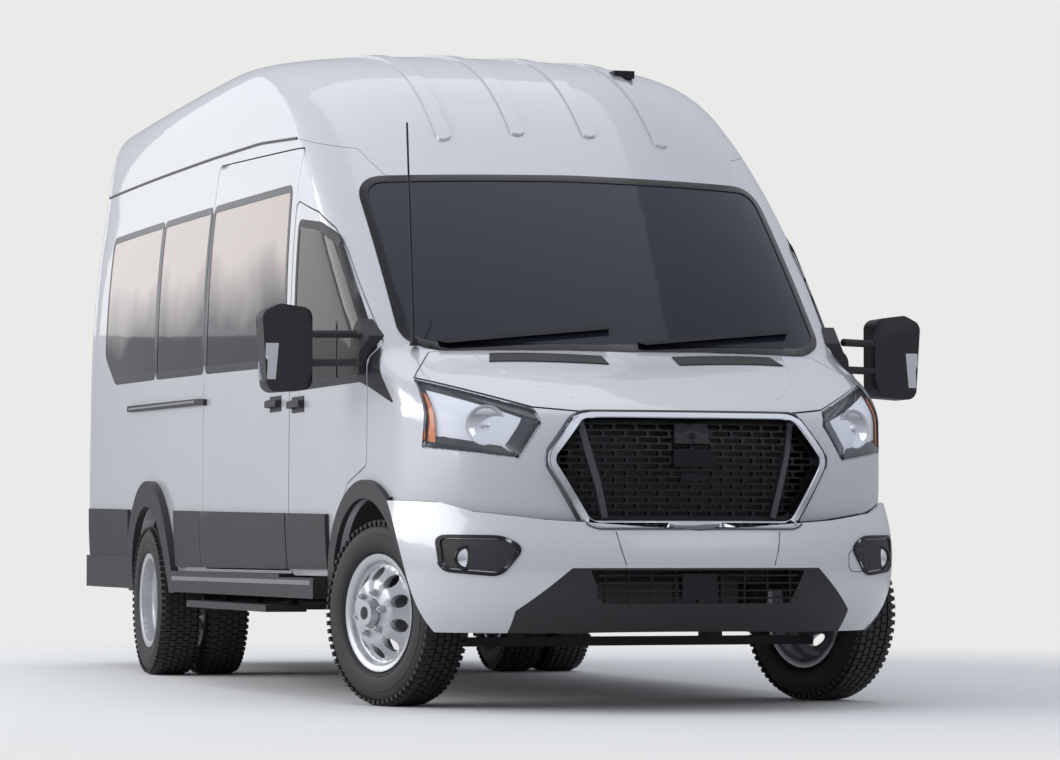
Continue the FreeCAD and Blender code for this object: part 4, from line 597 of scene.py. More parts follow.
@dataclass(frozen=True)
class Lay:
    """Direction from which flat outlines are laid on a surface."""

    surface: Surface
    lift: Callable[[float, float], Vector]
    way: Vector
    spread: float = 0.0

    def spot(self, point: Vector, height: float) -> Vector:
        """Point on the surface under a flat point.

        Args:
            point: The flat point.
            height: How far it is raised out of the surface.

        Returns:
            The point; with a spread it bridges small holes.
        """
        start = self.lift(point.x, point.y)
        if self.spread:
            across, up = (axis for axis in Matrix.Identity(3) if abs(axis.dot(self.way)) < 0.5)
            shifts = [(across * one + up * two) * self.spread for one in (-1, 0, 1) for two in (-1, 0, 1)]
            met = (self.surface.meet(start + step, self.way)[0] for step in shifts)
            reach = min((point - start).dot(self.way) for point in met)
            return start + self.way * (reach - height)
        met, normal = self.surface.meet(start, self.way)
        return met + normal * height

    def ribbon(self, path: Sequence[Vector], width: float, thick: float, closed: bool) -> Shell:
        """Strip that follows a path over the surface.

        Args:
            path: Points of its middle line, flat.
            width: Width of the strip.
            thick: Height above the surface.
            closed: Whether it comes back to its start.

        Returns:
            The closed strip, sunk a little into the surface.
        """
        count = len(path)
        points = []
        for index, here in enumerate(path):
            before = path[index - 1] if closed or index else here
            after = path[(index + 1) % count] if closed or index < count - 1 else here
            run = (after - before).normalized()
            side = Vector((-run.y, run.x, 0)) * width / 2
            points += [self.spot(here - side, -thick), self.spot(here - side * 0.86, thick),
                       self.spot(here + side * 0.86, thick), self.spot(here + side, -thick)]
        faces = []
        for index in range(count if closed else count - 1):
            here = index * 4
            there = (index + 1) % count * 4
            faces += [(here + edge, here + (edge + 1) % 4, there + (edge + 1) % 4, there + edge)
                      for edge in range(4)]
        if not closed:
            faces += [(3, 2, 1, 0), tuple(4 * count - 4 + edge for edge in range(4))]
        return Shell(points, faces)

    def panel(self, corners: Sequence[Flat], thick: float, steps: tuple[int, int] = (8, 4)) -> Shell:
        """Four-cornered plate that lies on the surface.

        Args:
            corners: The four corners in order, flat.
            thick: Height above the surface.
            steps: Faces along the first side and along the second.

        Returns:
            The closed plate.
        """
        one, two, three, four = flat_points(corners)
        columns, rows = steps
        points = []
        for height in (thick, -thick):
            for row in range(rows + 1):
                for column in range(columns + 1):
                    low = one.lerp(two, column / columns)
                    high = four.lerp(three, column / columns)
                    points.append(self.spot(low.lerp(high, row / rows), height))
        width = columns + 1
        layer = width * (rows + 1)
        faces = []
        for row in range(rows):
            for column in range(columns):
                here = row * width + column
                face = (here, here + 1, here + width + 1, here + width)
                faces += [face, tuple(corner + layer for corner in face[::-1])]
        rim = list(range(columns))
        rim += [columns + row * width for row in range(rows)]
        rim += [rows * width + column for column in range(columns, 0, -1)]
        rim += [row * width for row in range(rows, 0, -1)]
        faces += [(here, there, there + layer, here + layer) for here, there in zip(rim, rim[1:] + rim[:1])]
        return Shell(points, faces)


def from_side(surface: Surface, side: int, spread: float = 0.0) -> Lay:
    """Lay of outlines in length and height on one side."""
    return Lay(surface, lambda along, level: Vector((side * OUT_OF_REACH, along, level)),
               Vector((-side, 0, 0)), spread)


def from_front(surface: Surface, spread: float = 0.0) -> Lay:
    """Lay of outlines in width and height on the nose."""
    return Lay(surface, lambda across, level: Vector((across, -OUT_OF_REACH * NOSE_REACH_SHARE, level)),
               Vector((0, 1, 0)), spread)


def from_above(surface: Surface) -> Lay:
    """Lay of outlines in width and length on the top."""
    return Lay(surface, lambda across, along: Vector((across, along, OUT_OF_REACH)), -UP)


class Layout(str, Enum):
    """How a repeated piece is set out."""

    RING = "ring"
    ROW = "row"


class Element(str, Enum):
    """Piece that is repeated."""

    BLOCK = "block"
    STUD = "stud"


@dataclass(frozen=True)
class Repeater:
    """Geometry tree that repeats a small piece round a ring or along a row."""

    layout: Layout
    element: Element

    def tree(self) -> bpy.types.NodeTree:
        """The node tree, made once.

        Returns:
            The tree.
        """
        name = f"{self.layout.value}_of_{self.element.value}s"
        found = bpy.data.node_groups.get(name)
        if found:
            return found
        tree = bpy.data.node_groups.new(name, "GeometryNodeTree")
        kinds = {"Count": "NodeSocketInt", "Reach": "NodeSocketVector", "Size": "NodeSocketVector",
                 "Sides": "NodeSocketInt", "Finish": "NodeSocketMaterial"}
        for label, kind in kinds.items():
            tree.interface.new_socket(name=label, in_out="INPUT", socket_type=kind)
        tree.interface.new_socket(name="Geometry", in_out="OUTPUT", socket_type="NodeSocketGeometry")
        graph = Graph(tree)
        given = {label: graph.node("NodeGroupInput", {}, {}, label) for label in kinds}
        size = [graph.node("ShaderNodeSeparateXYZ", {}, {0: given["Size"]}, axis) for axis in range(3)]
        if self.element is Element.BLOCK:
            piece = graph.node("GeometryNodeMeshCube", {}, {"Size": given["Size"]}, "Mesh")
        else:
            piece = graph.node("GeometryNodeMeshCylinder", {}, {"Vertices": given["Sides"], "Radius": size[0],
                                                                "Depth": size[2]}, "Mesh")
        turn: Any = 0.0
        if self.layout is Layout.RING:
            reach = graph.node("ShaderNodeSeparateXYZ", {}, {0: given["Reach"]}, 0)
            spots = graph.node("GeometryNodeMeshCircle", {}, {"Vertices": given["Count"], "Radius": reach})
            turn = graph.node("GeometryNodeInputIndex", {}, {}) / given["Count"] * (2 * math.pi)
        else:
            spots = graph.node("GeometryNodeMeshLine", {}, {"Count": given["Count"],
                                                            "Offset": given["Reach"]})
        rotation = graph.node("ShaderNodeCombineXYZ", {}, {"Z": turn})
        copies = graph.node("GeometryNodeInstanceOnPoints", {}, {"Points": spots, "Instance": piece,
                                                                 "Rotation": rotation})
        real = graph.node("GeometryNodeRealizeInstances", {}, {0: copies})
        dressed = graph.node("GeometryNodeSetMaterial", {}, {"Geometry": real, "Material": given["Finish"]})
        graph.node("NodeGroupOutput", {}, {0: dressed})
        return tree

    def make(self, count: int, reach: Spot, size: Spot, finish: Finish, sides: int = 6) -> Shell:
        """Run the tree.

        Args:
            count: How many pieces.
            reach: Radius of a ring as its first part, or the step of a row.
            size: Size of each piece.
            finish: Look of the pieces.
            sides: Sides of a stud.

        Returns:
            Points and faces of all the pieces.
        """
        tree = self.tree()
        holder = bpy.data.objects.new("holder", bpy.data.meshes.new("holder"))
        bpy.context.scene.collection.objects.link(holder)
        modifier = holder.modifiers.new("repeat", "NODES")
        modifier.node_group = tree
        values = {"Count": count, "Reach": list(reach), "Size": list(size), "Sides": sides,
                  "Finish": finish.build()}
        for item in tree.interface.items_tree:
            if item.in_out == "INPUT":
                modifier[item.identifier] = values[item.name]
        evaluated = holder.evaluated_get(bpy.context.evaluated_depsgraph_get())
        mesh = bpy.data.meshes.new_from_object(evaluated)
        shell = Shell.of_mesh(mesh)
        bpy.data.meshes.remove(mesh)
        bpy.data.objects.remove(holder)
        return shell


TREAD_RING = Repeater(Layout.RING, Element.BLOCK)
STUD_RING = Repeater(Layout.RING, Element.STUD)
BLOCK_ROW = Repeater(Layout.ROW, Element.BLOCK)


@dataclass(frozen=True)
class Panels:
    """CAD nodes that keep their shape and get a finish."""

    finish: Finish
    nodes: tuple[str, ...]
    sharp: float = SMOOTH_ANGLE

    def build(self) -> None:
        """Copy each node, weld it and dress it."""
        for node in self.nodes:
            source = frame["nodes"][node]
            mesh = source.data.copy()
            weld(mesh, False)
            piece = bpy.data.objects.new(f"{node}_dressed", mesh)
            dress(piece, self.finish, source["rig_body"], (node,), self.sharp)
            weight = piece.modifiers.new("even_normals", "WEIGHTED_NORMAL")
            weight.keep_sharp = True


def joint(name: str) -> dict[str, Any]:
    """Joint of the record by its name."""
    return next(entry for entry in frame["joints"] if entry["name"] == name)


@dataclass(frozen=True)
class Wheels:
    """Tyres with their tread, and the nuts of the rims."""

    radius: float = 0.349
    tread_depth: float = 0.008
    bead: float = 0.2055
    half_width: float = 0.0972
    rib_width: float = 0.024
    rib_pitch: float = 0.031
    blocks: int = 68
    gap: float = 0.005
    nut_ring: float = 0.080
    nut_size: float = 0.0125
    nut_height: float = 0.020
    nuts: int = 6
    twin_offset: float = 0.114
    front_face: float = 0.114
    rear_face: float = 0.0125
    wall: Outline = ((0.0, 0.026), (0.010, 0.020), (0.018, 0.020), (0.026, 0.009), (0.032, 0.005),
                              (0.034, 0.007), (0.045, 0.002), (0.066, 0.0), (0.090, 0.001), (0.092, 0.003),
                              (0.110, 0.005))
    shoulder: Outline = ((0.010, 0.014), (0.002, 0.022), (0.0, 0.034))
    groove_half: float = 0.012
    lug_drop_share: float = 1.9
    lug_rise_share: float = 1.6
    lug_share: float = 0.62
    lug_inset: float = 0.010
    washer_share: float = 1.3
    washer_height: float = 0.004
    tip_share: float = 0.45
    tip_height: float = 0.036

    def tyre(self) -> Shell:
        """Tyre about Z with its carcass and its blocks of tread.

        Returns:
            The whole tyre.
        """
        crown = self.radius - self.tread_depth
        half = self.half_width
        outer = [(self.bead + rise, half - inset) for rise, inset in self.wall]
        outer += [(crown - drop, half - inset) for drop, inset in self.shoulder] + [(crown, self.groove_half)]
        profile = outer + [(radius, -height) for radius, height in reversed(outer)]
        parts = [lathe(profile, 96)]
        length = 2 * math.pi * crown / self.blocks - self.gap
        for rib in range(-2, 3):
            ring = TREAD_RING.make(self.blocks, (crown, 0, 0), (self.tread_depth * 2, length, self.rib_width),
                                   RUBBER)
            turn = Matrix.Rotation(math.pi / self.blocks * (rib % 2), 4, "Z")
            parts.append(ring.moved(shift(0, 0, rib * self.rib_pitch) @ turn))
        for end in (-1, 1):
            lug = (self.tread_depth * self.lug_rise_share, length * self.lug_share,
                   self.rib_width * self.lug_share)
            reach = self.radius - self.tread_depth * self.lug_drop_share
            ring = TREAD_RING.make(self.blocks, (reach, 0, 0), lug, RUBBER)
            parts.append(ring.moved(shift(0, 0, end * (half - self.lug_inset))))
        return Shell.joined(parts)

    def studs(self, face: float) -> Shell:
        """Wheel nuts with their washers in a ring on a face.

        Args:
            face: Height of the face along the axle.

        Returns:
            The nuts about Z.
        """
        ring = (self.nut_ring, 0, 0)
        nuts = STUD_RING.make(self.nuts, ring, (self.nut_size, 0, self.nut_height), STEEL)
        washer = (self.nut_size * self.washer_share, 0, self.washer_height)
        washers = STUD_RING.make(self.nuts, ring, washer, STEEL, sides=16)
        tip = (self.nut_size * self.tip_share, 0, self.tip_height)
        tips = STUD_RING.make(self.nuts, ring, tip, STEEL, sides=10)
        lifted = shift(0, 0, face + self.nut_height / 2)
        return Shell.joined([nuts.moved(lifted), tips.moved(lifted), washers.moved(shift(0, 0, face))])

    def on_axle(self, name: str, side: int) -> Matrix:
        """Place a wheel that was made about Z, outside up.

        Args:
            name: The joint that it turns on.
            side: The side that it stands on.

        Returns:
            The matrix to its place in the frame.
        """
        entry = joint(name)
        return facing(Vector(entry["pos_m"]), Vector(entry["axis"]).normalized() * side)

    def build(self) -> None:
        """Make the wheels of both sides."""
        tyre = self.tyre()
        for side, word in SIDES.items():
            place = self.on_axle(f"front_wheel_{word}_spin", side)
            add_piece(f"tyre_front_{word}_tread", tyre.moved(place), RUBBER, Body.FRONT_WHEEL.on(side),
                      (f"tyre_front_{word}",))
            add_piece(f"nuts_front_{word}", self.studs(self.front_face).moved(place), STEEL,
                      Body.FRONT_WHEEL.on(side))
            place = self.on_axle(f"rear_wheels_{word}_spin", side)
            pair = [tyre.moved(shift(0, 0, offset)) for offset in (-self.twin_offset, self.twin_offset)]
            add_piece(f"tyres_rear_{word}_tread", Shell.joined(pair).moved(place), RUBBER,
                      Body.REAR_WHEELS.on(side), (f"tyres_rear_{word}",))
            add_piece(f"nuts_rear_{word}", self.studs(self.rear_face).moved(place), STEEL,
                      Body.REAR_WHEELS.on(side))


@dataclass(frozen=True)
class HeadLamps:
    """What shows through the clear lenses."""

    bowl_place: Flat = (0.715, 1.035)
    bowl_radius: float = 0.066
    bowl_depth: float = 0.014
    bowl_steps: int = 8
    flange_share: float = 1.12
    neck_share: float = 1.02
    flange: float = 0.006
    wall: float = 0.004
    bulb: Outline = ((POLE, -0.012), (0.016, -0.012), (0.018, -0.007), (0.010, -0.003), (POLE, -0.002))
    sink: float = 0.024
    plate: Outline = ((0.862, 0.980), (0.628, 0.935), (0.566, 1.046), (0.860, 1.170))
    plate_sink: float = 0.036
    plate_thick: float = 0.001
    amber: Outline = ((0.893, 0.985), (0.862, 0.975), (0.868, 1.15), (0.889, 1.18))
    amber_sink: float = 0.016
    amber_thick: float = 0.0015
    fins: int = 5
    fin: Spot = (0.002, 0.03, 0.055)
    fin_step: Flat = (0.014, -0.008)
    fin_place: Spot = (0.59, -3.0, 1.0)
    rim: Outline = ((0.893, 0.957), (0.625, 0.916), (0.546, 1.040), (0.561, 1.091), (0.882, 1.215))
    rim_width: float = 0.009
    rim_thick: float = 0.0012
    rim_turn: float = 0.02

    def bowl(self) -> Shell:
        """Round reflector about Z, open upwards, with its bulb.

        Returns:
            The reflector and the bulb.
        """
        radius = self.bowl_radius
        shares = [step / self.bowl_steps for step in range(self.bowl_steps + 1)]
        inside = [(radius * share + POLE * 2, self.bowl_depth * (share ** 2 - 1)) for share in shares]
        flange = [(radius * self.flange_share, 0.0), (radius * self.flange_share, -self.flange),
                  (radius * self.neck_share, -self.flange)]
        outside = [(reach, height - self.wall) for reach, height in reversed(inside)]
        return Shell.joined([lathe(inside + flange + outside, 40), lathe(self.bulb, 24)])

    def build(self) -> None:
        """Make both lamps."""
        body = Body.BODY.value
        for side, word in SIDES.items():
            lay = from_front(Surface(["lamp_lenses"]))
            spot = lay.lift(side * self.bowl_place[0], self.bowl_place[1])
            met, out = lay.surface.meet(spot, lay.way)
            plate = lay.panel(flip(self.plate, side), self.plate_thick, (16, 10))
            add_piece(f"lamp_plate_{word}", plate.moved(shift(0, self.plate_sink, 0)), LAMP_GREY, body)
            place = facing(met + Vector((0, self.sink, 0)), (out + Vector((0, -1, 0))).normalized())
            add_piece(f"lamp_bowl_{word}", self.bowl().moved(place), BRIGHT, body)
            amber = lay.panel(flip(self.amber, side), self.amber_thick, (3, 8))
            add_piece(f"lamp_amber_{word}", amber.moved(shift(0, self.amber_sink, 0)), AMBER, body)
            out_step, back_step = self.fin_step
            fins = BLOCK_ROW.make(self.fins, (side * out_step, back_step, 0), self.fin, LAMP_GREY)
            across, along, level = self.fin_place
            add_piece(f"lamp_fins_{word}", fins.moved(shift(side * across, along, level)), LAMP_GREY, body)
            path = rounded_path(flip(self.rim, side), self.rim_turn)
            rim = lay.ribbon(path, self.rim_width, self.rim_thick, True)
            add_piece(f"lamp_rim_{word}", rim, GLOSS_BLACK, body)


@dataclass(frozen=True)
class Nose:
    """Sensor block, bars of the grille and its bright band."""

    back_level: float = 0.915
    back_stand: float = 0.020
    grille_spread: float = 0.013
    back_half: float = 0.075
    back_levels: Flat = (0.885, 0.945)
    back_depths: Flat = (0.004, 0.03)
    block: Outline = ((-0.070, 0.968), (0.070, 0.968), (0.062, 1.042), (-0.062, 1.042))
    block_thick: float = 0.014
    lower: Outline = ((-0.045, 0.835), (0.045, 0.835), (0.045, 0.862), (-0.045, 0.862))
    lower_thick: float = 0.008
    post: Outline = ((0.405, 1.048), (0.383, 0.94), (0.350, 0.82), (0.322, 0.70))
    post_width: float = 0.026
    post_thick: float = 0.008
    centre: float = 0.88
    outline: Outline = ((-0.387, 0.680), (0.387, 0.680), (0.525, 0.912), (0.407, 1.068), (-0.407, 1.068),
                        (-0.525, 0.912))
    outline_turn: float = 0.05
    band_thick: float = 0.002
    band_spread: float = 0.004
    bands: tuple[tuple[str, float, float, Finish], ...] = (
        ("bright_band", 1.012, 0.020, BRIGHT), ("dark_line", 1.050, 0.006, GREY_BAR),
        ("inner_line", 0.972, 0.008, GLOSS_BLACK))

    def build(self) -> None:
        """Make the nose's fittings."""
        body = Body.BODY.value
        lay = from_front(Surface(["grille"]), self.grille_spread)
        met = lay.spot(Vector((0, self.back_level, 0)), 0)
        front = met.y - self.back_stand
        back = bar(Vector((-self.back_half, front + self.back_depths[0], self.back_levels[0])),
                   Vector((self.back_half, met.y + self.back_depths[1], self.back_levels[1])))
        block = lay.panel(self.block, self.block_thick)
        lower = lay.panel(self.lower, self.lower_thick)
        add_piece("sensor_block", Shell.joined([back, block, lower]), GLOSS_BLACK, body)
        for side, word in SIDES.items():
            post = lay.ribbon(flat_points(flip(self.post, side)), self.post_width, self.post_thick, False)
            add_piece(f"grille_post_{word}", post, GREY_BAR, body)
        edge = from_front(Surface(["grille_surround", "wings", "hood", "front_bumper"]),
                          self.band_spread)
        for name, scale, width, finish in self.bands:
            path = rounded_path([(across * scale, self.centre + (level - self.centre) * (scale * 2 - 1))
                                 for across, level in self.outline], self.outline_turn)
            add_piece(f"grille_{name}", edge.ribbon(path, width, self.band_thick, True), finish, body)


@dataclass(frozen=True)
class BumperTrim:
    """Fog lamps, sensors, slats and seams of the front bumper, and painted shade along its creases."""

    fog_lip: Outline = ((0.868, 0.512), (0.700, 0.495), (0.632, 0.592), (0.690, 0.630), (0.880, 0.634))
    lip_width: float = 0.014
    lip_thick: float = 0.006
    fog_place: Flat = (0.800, 0.556)
    fog_sink: float = 0.006
    fog_lean: float = 1.5
    fog_ring: Outline = ((0.030, -0.02), (0.046, -0.02), (0.046, 0.004), (0.040, 0.008), (0.034, 0.004))
    fog_lens: Outline = ((POLE, -0.012), (0.034, -0.012), (0.034, 0.001), (0.020, 0.005), (POLE, 0.007))
    # Dark grey strip along each bumper crease: painted shade in the crease.
    crease_shade_line: Outline = ((0.312, 0.650), (0.300, 0.59), (0.282, 0.53))
    crease_shade_width: float = 0.004
    crease_shade_thick: float = 0.0016
    sensor: Outline = ((POLE, -0.01), (0.016, -0.01), (0.016, 0.003), (POLE, 0.004))
    sensor_place: Flat = (0.320, 0.505)
    inset: float = 0.045
    slats: int = 4
    slat: Spot = (0.76, 0.014, 0.006)
    slat_step: float = 0.027
    slat_level: float = 0.412
    bars: int = 9
    bar_size: Spot = (0.006, 0.02, 0.115)
    bar_step: float = 0.088
    bar_place: Spot = (-0.352, 0.01, 0.452)
    block_low: Spot = (-0.065, -0.012, 0.405)
    block_high: Spot = (0.065, 0.03, 0.500)
    hook: Outline = ((0.612, 0.505), (0.700, 0.505), (0.700, 0.585), (0.612, 0.585))
    hook_width: float = 0.003
    hook_thick: float = 0.0012
    turn: float = 0.03

    def intake(self) -> Shell:
        """Slats and bars of the lower intake.

        Returns:
            All of them, with the block in their middle.
        """
        front = Vector((0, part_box("front_valance")[0].y + self.inset, 0))
        slats = BLOCK_ROW.make(self.slats, (0, 0, self.slat_step), self.slat, SATIN_BLACK)
        bars = BLOCK_ROW.make(self.bars, (self.bar_step, 0, 0), self.bar_size, SATIN_BLACK)
        return Shell.joined([slats.moved(shift(0, front.y, self.slat_level)),
                             bars.moved(Matrix.Translation(front + Vector(self.bar_place))),
                             bar(front + Vector(self.block_low), front + Vector(self.block_high))])

    def build(self) -> None:
        """Make the bumper's fittings."""
        body = Body.BODY.value
        bumper = Surface(["front_bumper", "front_valance"])
        lay = from_front(bumper)
        for side, word in SIDES.items():
            path = rounded_path(flip(self.fog_lip, side), self.turn)
            lip = lay.ribbon(path, self.lip_width, self.lip_thick, True)
            add_piece(f"fog_lip_{word}", lip, SATIN_BLACK, body)
            across, level = self.fog_place
            met, out = bumper.meet(Vector((side * across, -OUT_OF_REACH, level)), lay.way)
            place = facing(met + lay.way * self.fog_sink, (out - lay.way * self.fog_lean).normalized())
            add_piece(f"fog_ring_{word}", lathe(self.fog_ring, 40).moved(place), GLOSS_BLACK, body)
            add_piece(f"fog_lens_{word}", lathe(self.fog_lens, 40).moved(place), BRIGHT, body)
            # painted shade: dark grey strip along the crease
            path = flat_points(flip(self.crease_shade_line, side))
            crease_shade_line = lay.ribbon(path, self.crease_shade_width, self.crease_shade_thick, False)
            add_piece(f"bumper_crease_painted_shade_{word}", crease_shade_line, GREY_BAR, body)
            across, level = self.sensor_place
            met, _ = bumper.meet(Vector((side * across, -OUT_OF_REACH, level)), lay.way)
            place = Matrix.Translation(met) @ Matrix.Rotation(math.radians(90), 4, "X")
            add_piece(f"parking_sensor_{word}", lathe(self.sensor, 24).moved(place), GLOSS_BLACK, body)
        add_piece("intake_slats", self.intake(), SATIN_BLACK, body)
        hook = lay.ribbon(rounded_path(self.hook, self.turn), self.hook_width, self.hook_thick, True)
        add_piece("hook_cover_seam", hook, GREY_BAR, body)


@dataclass(frozen=True)
class Glazing:
    """Black edges of the windows, which hide the posts between them."""

    edge: float = 0.034
    grow: float = 0.008
    thick: float = 0.0014
    turn: float = 0.045
    spread: float = 0.004
    door_spread: float = 0.003
    wing_spread: float = 0.006
    post_share: float = 1.2
    saloon: tuple[Outline, ...] = (
        ((0.262, 1.385), (-1.190, 1.352), (-1.150, 2.050), (0.262, 2.085)),
        ((1.365, 1.408), (0.330, 1.386), (0.330, 2.087), (1.365, 2.110)),
        ((2.460, 1.430), (1.415, 1.409), (1.415, 2.112), (2.775, 2.142), (2.780, 1.580)))
    posts: tuple[tuple[Flat, Flat, int], ...] = (
        ((0.306, 0.346), (1.40, 2.075), 2), ((0.246, 0.291), (1.40, 2.075), 2),
        ((1.350, 1.430), (1.42, 2.10), 3))
    cab: Outline = ((-1.345, 1.245), (-2.235, 1.245), (-2.235, 1.392), (-1.801, 1.790),
                             (-1.640, 1.857), (-1.345, 1.893))
    cab_turn: float = 0.03
    divider: Outline = ((-1.925, 1.25), (-1.925, 1.45), (-1.925, 1.68))
    divider_width: float = 0.016
    divider_thick: float = 0.003
    sail_thick: float = 0.002
    sail: Outline = ((-2.212, 1.225), (-2.302, 1.205), (-2.302, 1.352), (-2.212, 1.425))
    wing_tip: Outline = ((-2.322, 1.203), (-2.600, 1.130), (-2.603, 1.136), (-2.322, 1.350))
    screen: Outline = ((-0.740, 1.349), (0.740, 1.349), (0.835, 1.392), (0.830, 2.000), (0.785, 2.050),
                                (0.0, 2.064), (-0.785, 2.050), (-0.830, 2.000), (-0.835, 1.392))
    screen_edge: float = 0.030
    screen_grow: float = 0.001
    rear: Outline = ((0.110, 1.440), (0.770, 1.440), (0.750, 2.085), (0.110, 2.085))

    def outset(self, corners: Sequence[Flat], distance: float) -> list[Flat]:
        """Outline moved outwards from its middle.

        Args:
            corners: Corners of the outline.
            distance: How far each corner moves along both axes.

        Returns:
            The moved corners.
        """
        middle = [sum(corner[axis] for corner in corners) / len(corners) for axis in (0, 1)]
        return [(corner[0] + math.copysign(distance, corner[0] - middle[0]),
                 corner[1] + math.copysign(distance, corner[1] - middle[1])) for corner in corners]

    def frame_of(self, lay: Lay, corners: Sequence[Flat], turn: float) -> Shell:
        """Black edge round one window.

        Args:
            lay: Lay on the window's side.
            corners: Corners of the window, already on their side.
            turn: How far from a corner its turn begins.

        Returns:
            The closed ribbon.
        """
        return lay.ribbon(rounded_path(corners, turn), self.edge, self.thick, True)

    def build(self) -> None:
        """Make the edges of all the windows."""
        skins = {RIGHT: ["side_right", "sliding_door", "side_glass"], LEFT: ["side_left", "side_glass"]}
        for side, word in SIDES.items():
            lay = from_side(Surface(skins[side]), side, self.spread)
            parts = [self.frame_of(lay, self.outset(window, self.grow), self.turn) for window in self.saloon]
            for (start, end), (foot, top), columns in self.posts:
                corners = [(start, foot), (end, foot), (end, top), (start, top)]
                parts.append(lay.panel(corners, self.thick * self.post_share, (columns, 16)))
            add_piece(f"saloon_window_edges_{word}", Shell.joined(parts), GLOSS_BLACK, Body.BODY.value)
            door = from_side(Surface([f"front_door_{word}", f"front_glass_{word}"]), side, self.door_spread)
            parts = [self.frame_of(door, self.outset(self.cab, self.grow), self.cab_turn),
                     door.ribbon(flat_points(self.divider), self.divider_width, self.divider_thick, False),
                     door.panel(self.sail, self.sail_thick)]
            add_piece(f"cab_window_edge_{word}", Shell.joined(parts), SATIN_BLACK, Body.FRONT_DOOR.on(side))
            wing = from_side(Surface(["wings", "cab_frame", "hood"]), side, self.wing_spread)
            tip = wing.panel(self.wing_tip, self.sail_thick)
            add_piece(f"wing_sail_{word}", tip, SATIN_BLACK, Body.BODY.value)
            back = Lay(Surface([f"rear_door_{word}", f"rear_glass_{word}"]),
                       lambda across, level: Vector((across, OUT_OF_REACH, level)), Vector((0, -1, 0)))
            edge = self.frame_of(back, flip(self.outset(self.rear, self.grow), side), self.turn)
            add_piece(f"rear_window_edge_{word}", edge, GLOSS_BLACK, Body.REAR_DOOR.on(side))
        front = from_front(Surface(["windscreen", "cab_frame", "wings", "roof"]), self.door_spread)
        path = rounded_path(self.outset(self.screen, self.screen_grow), self.turn)
        add_piece("windscreen_edge", front.ribbon(path, self.screen_edge, self.thick, True), GLOSS_BLACK,
                  Body.BODY.value)


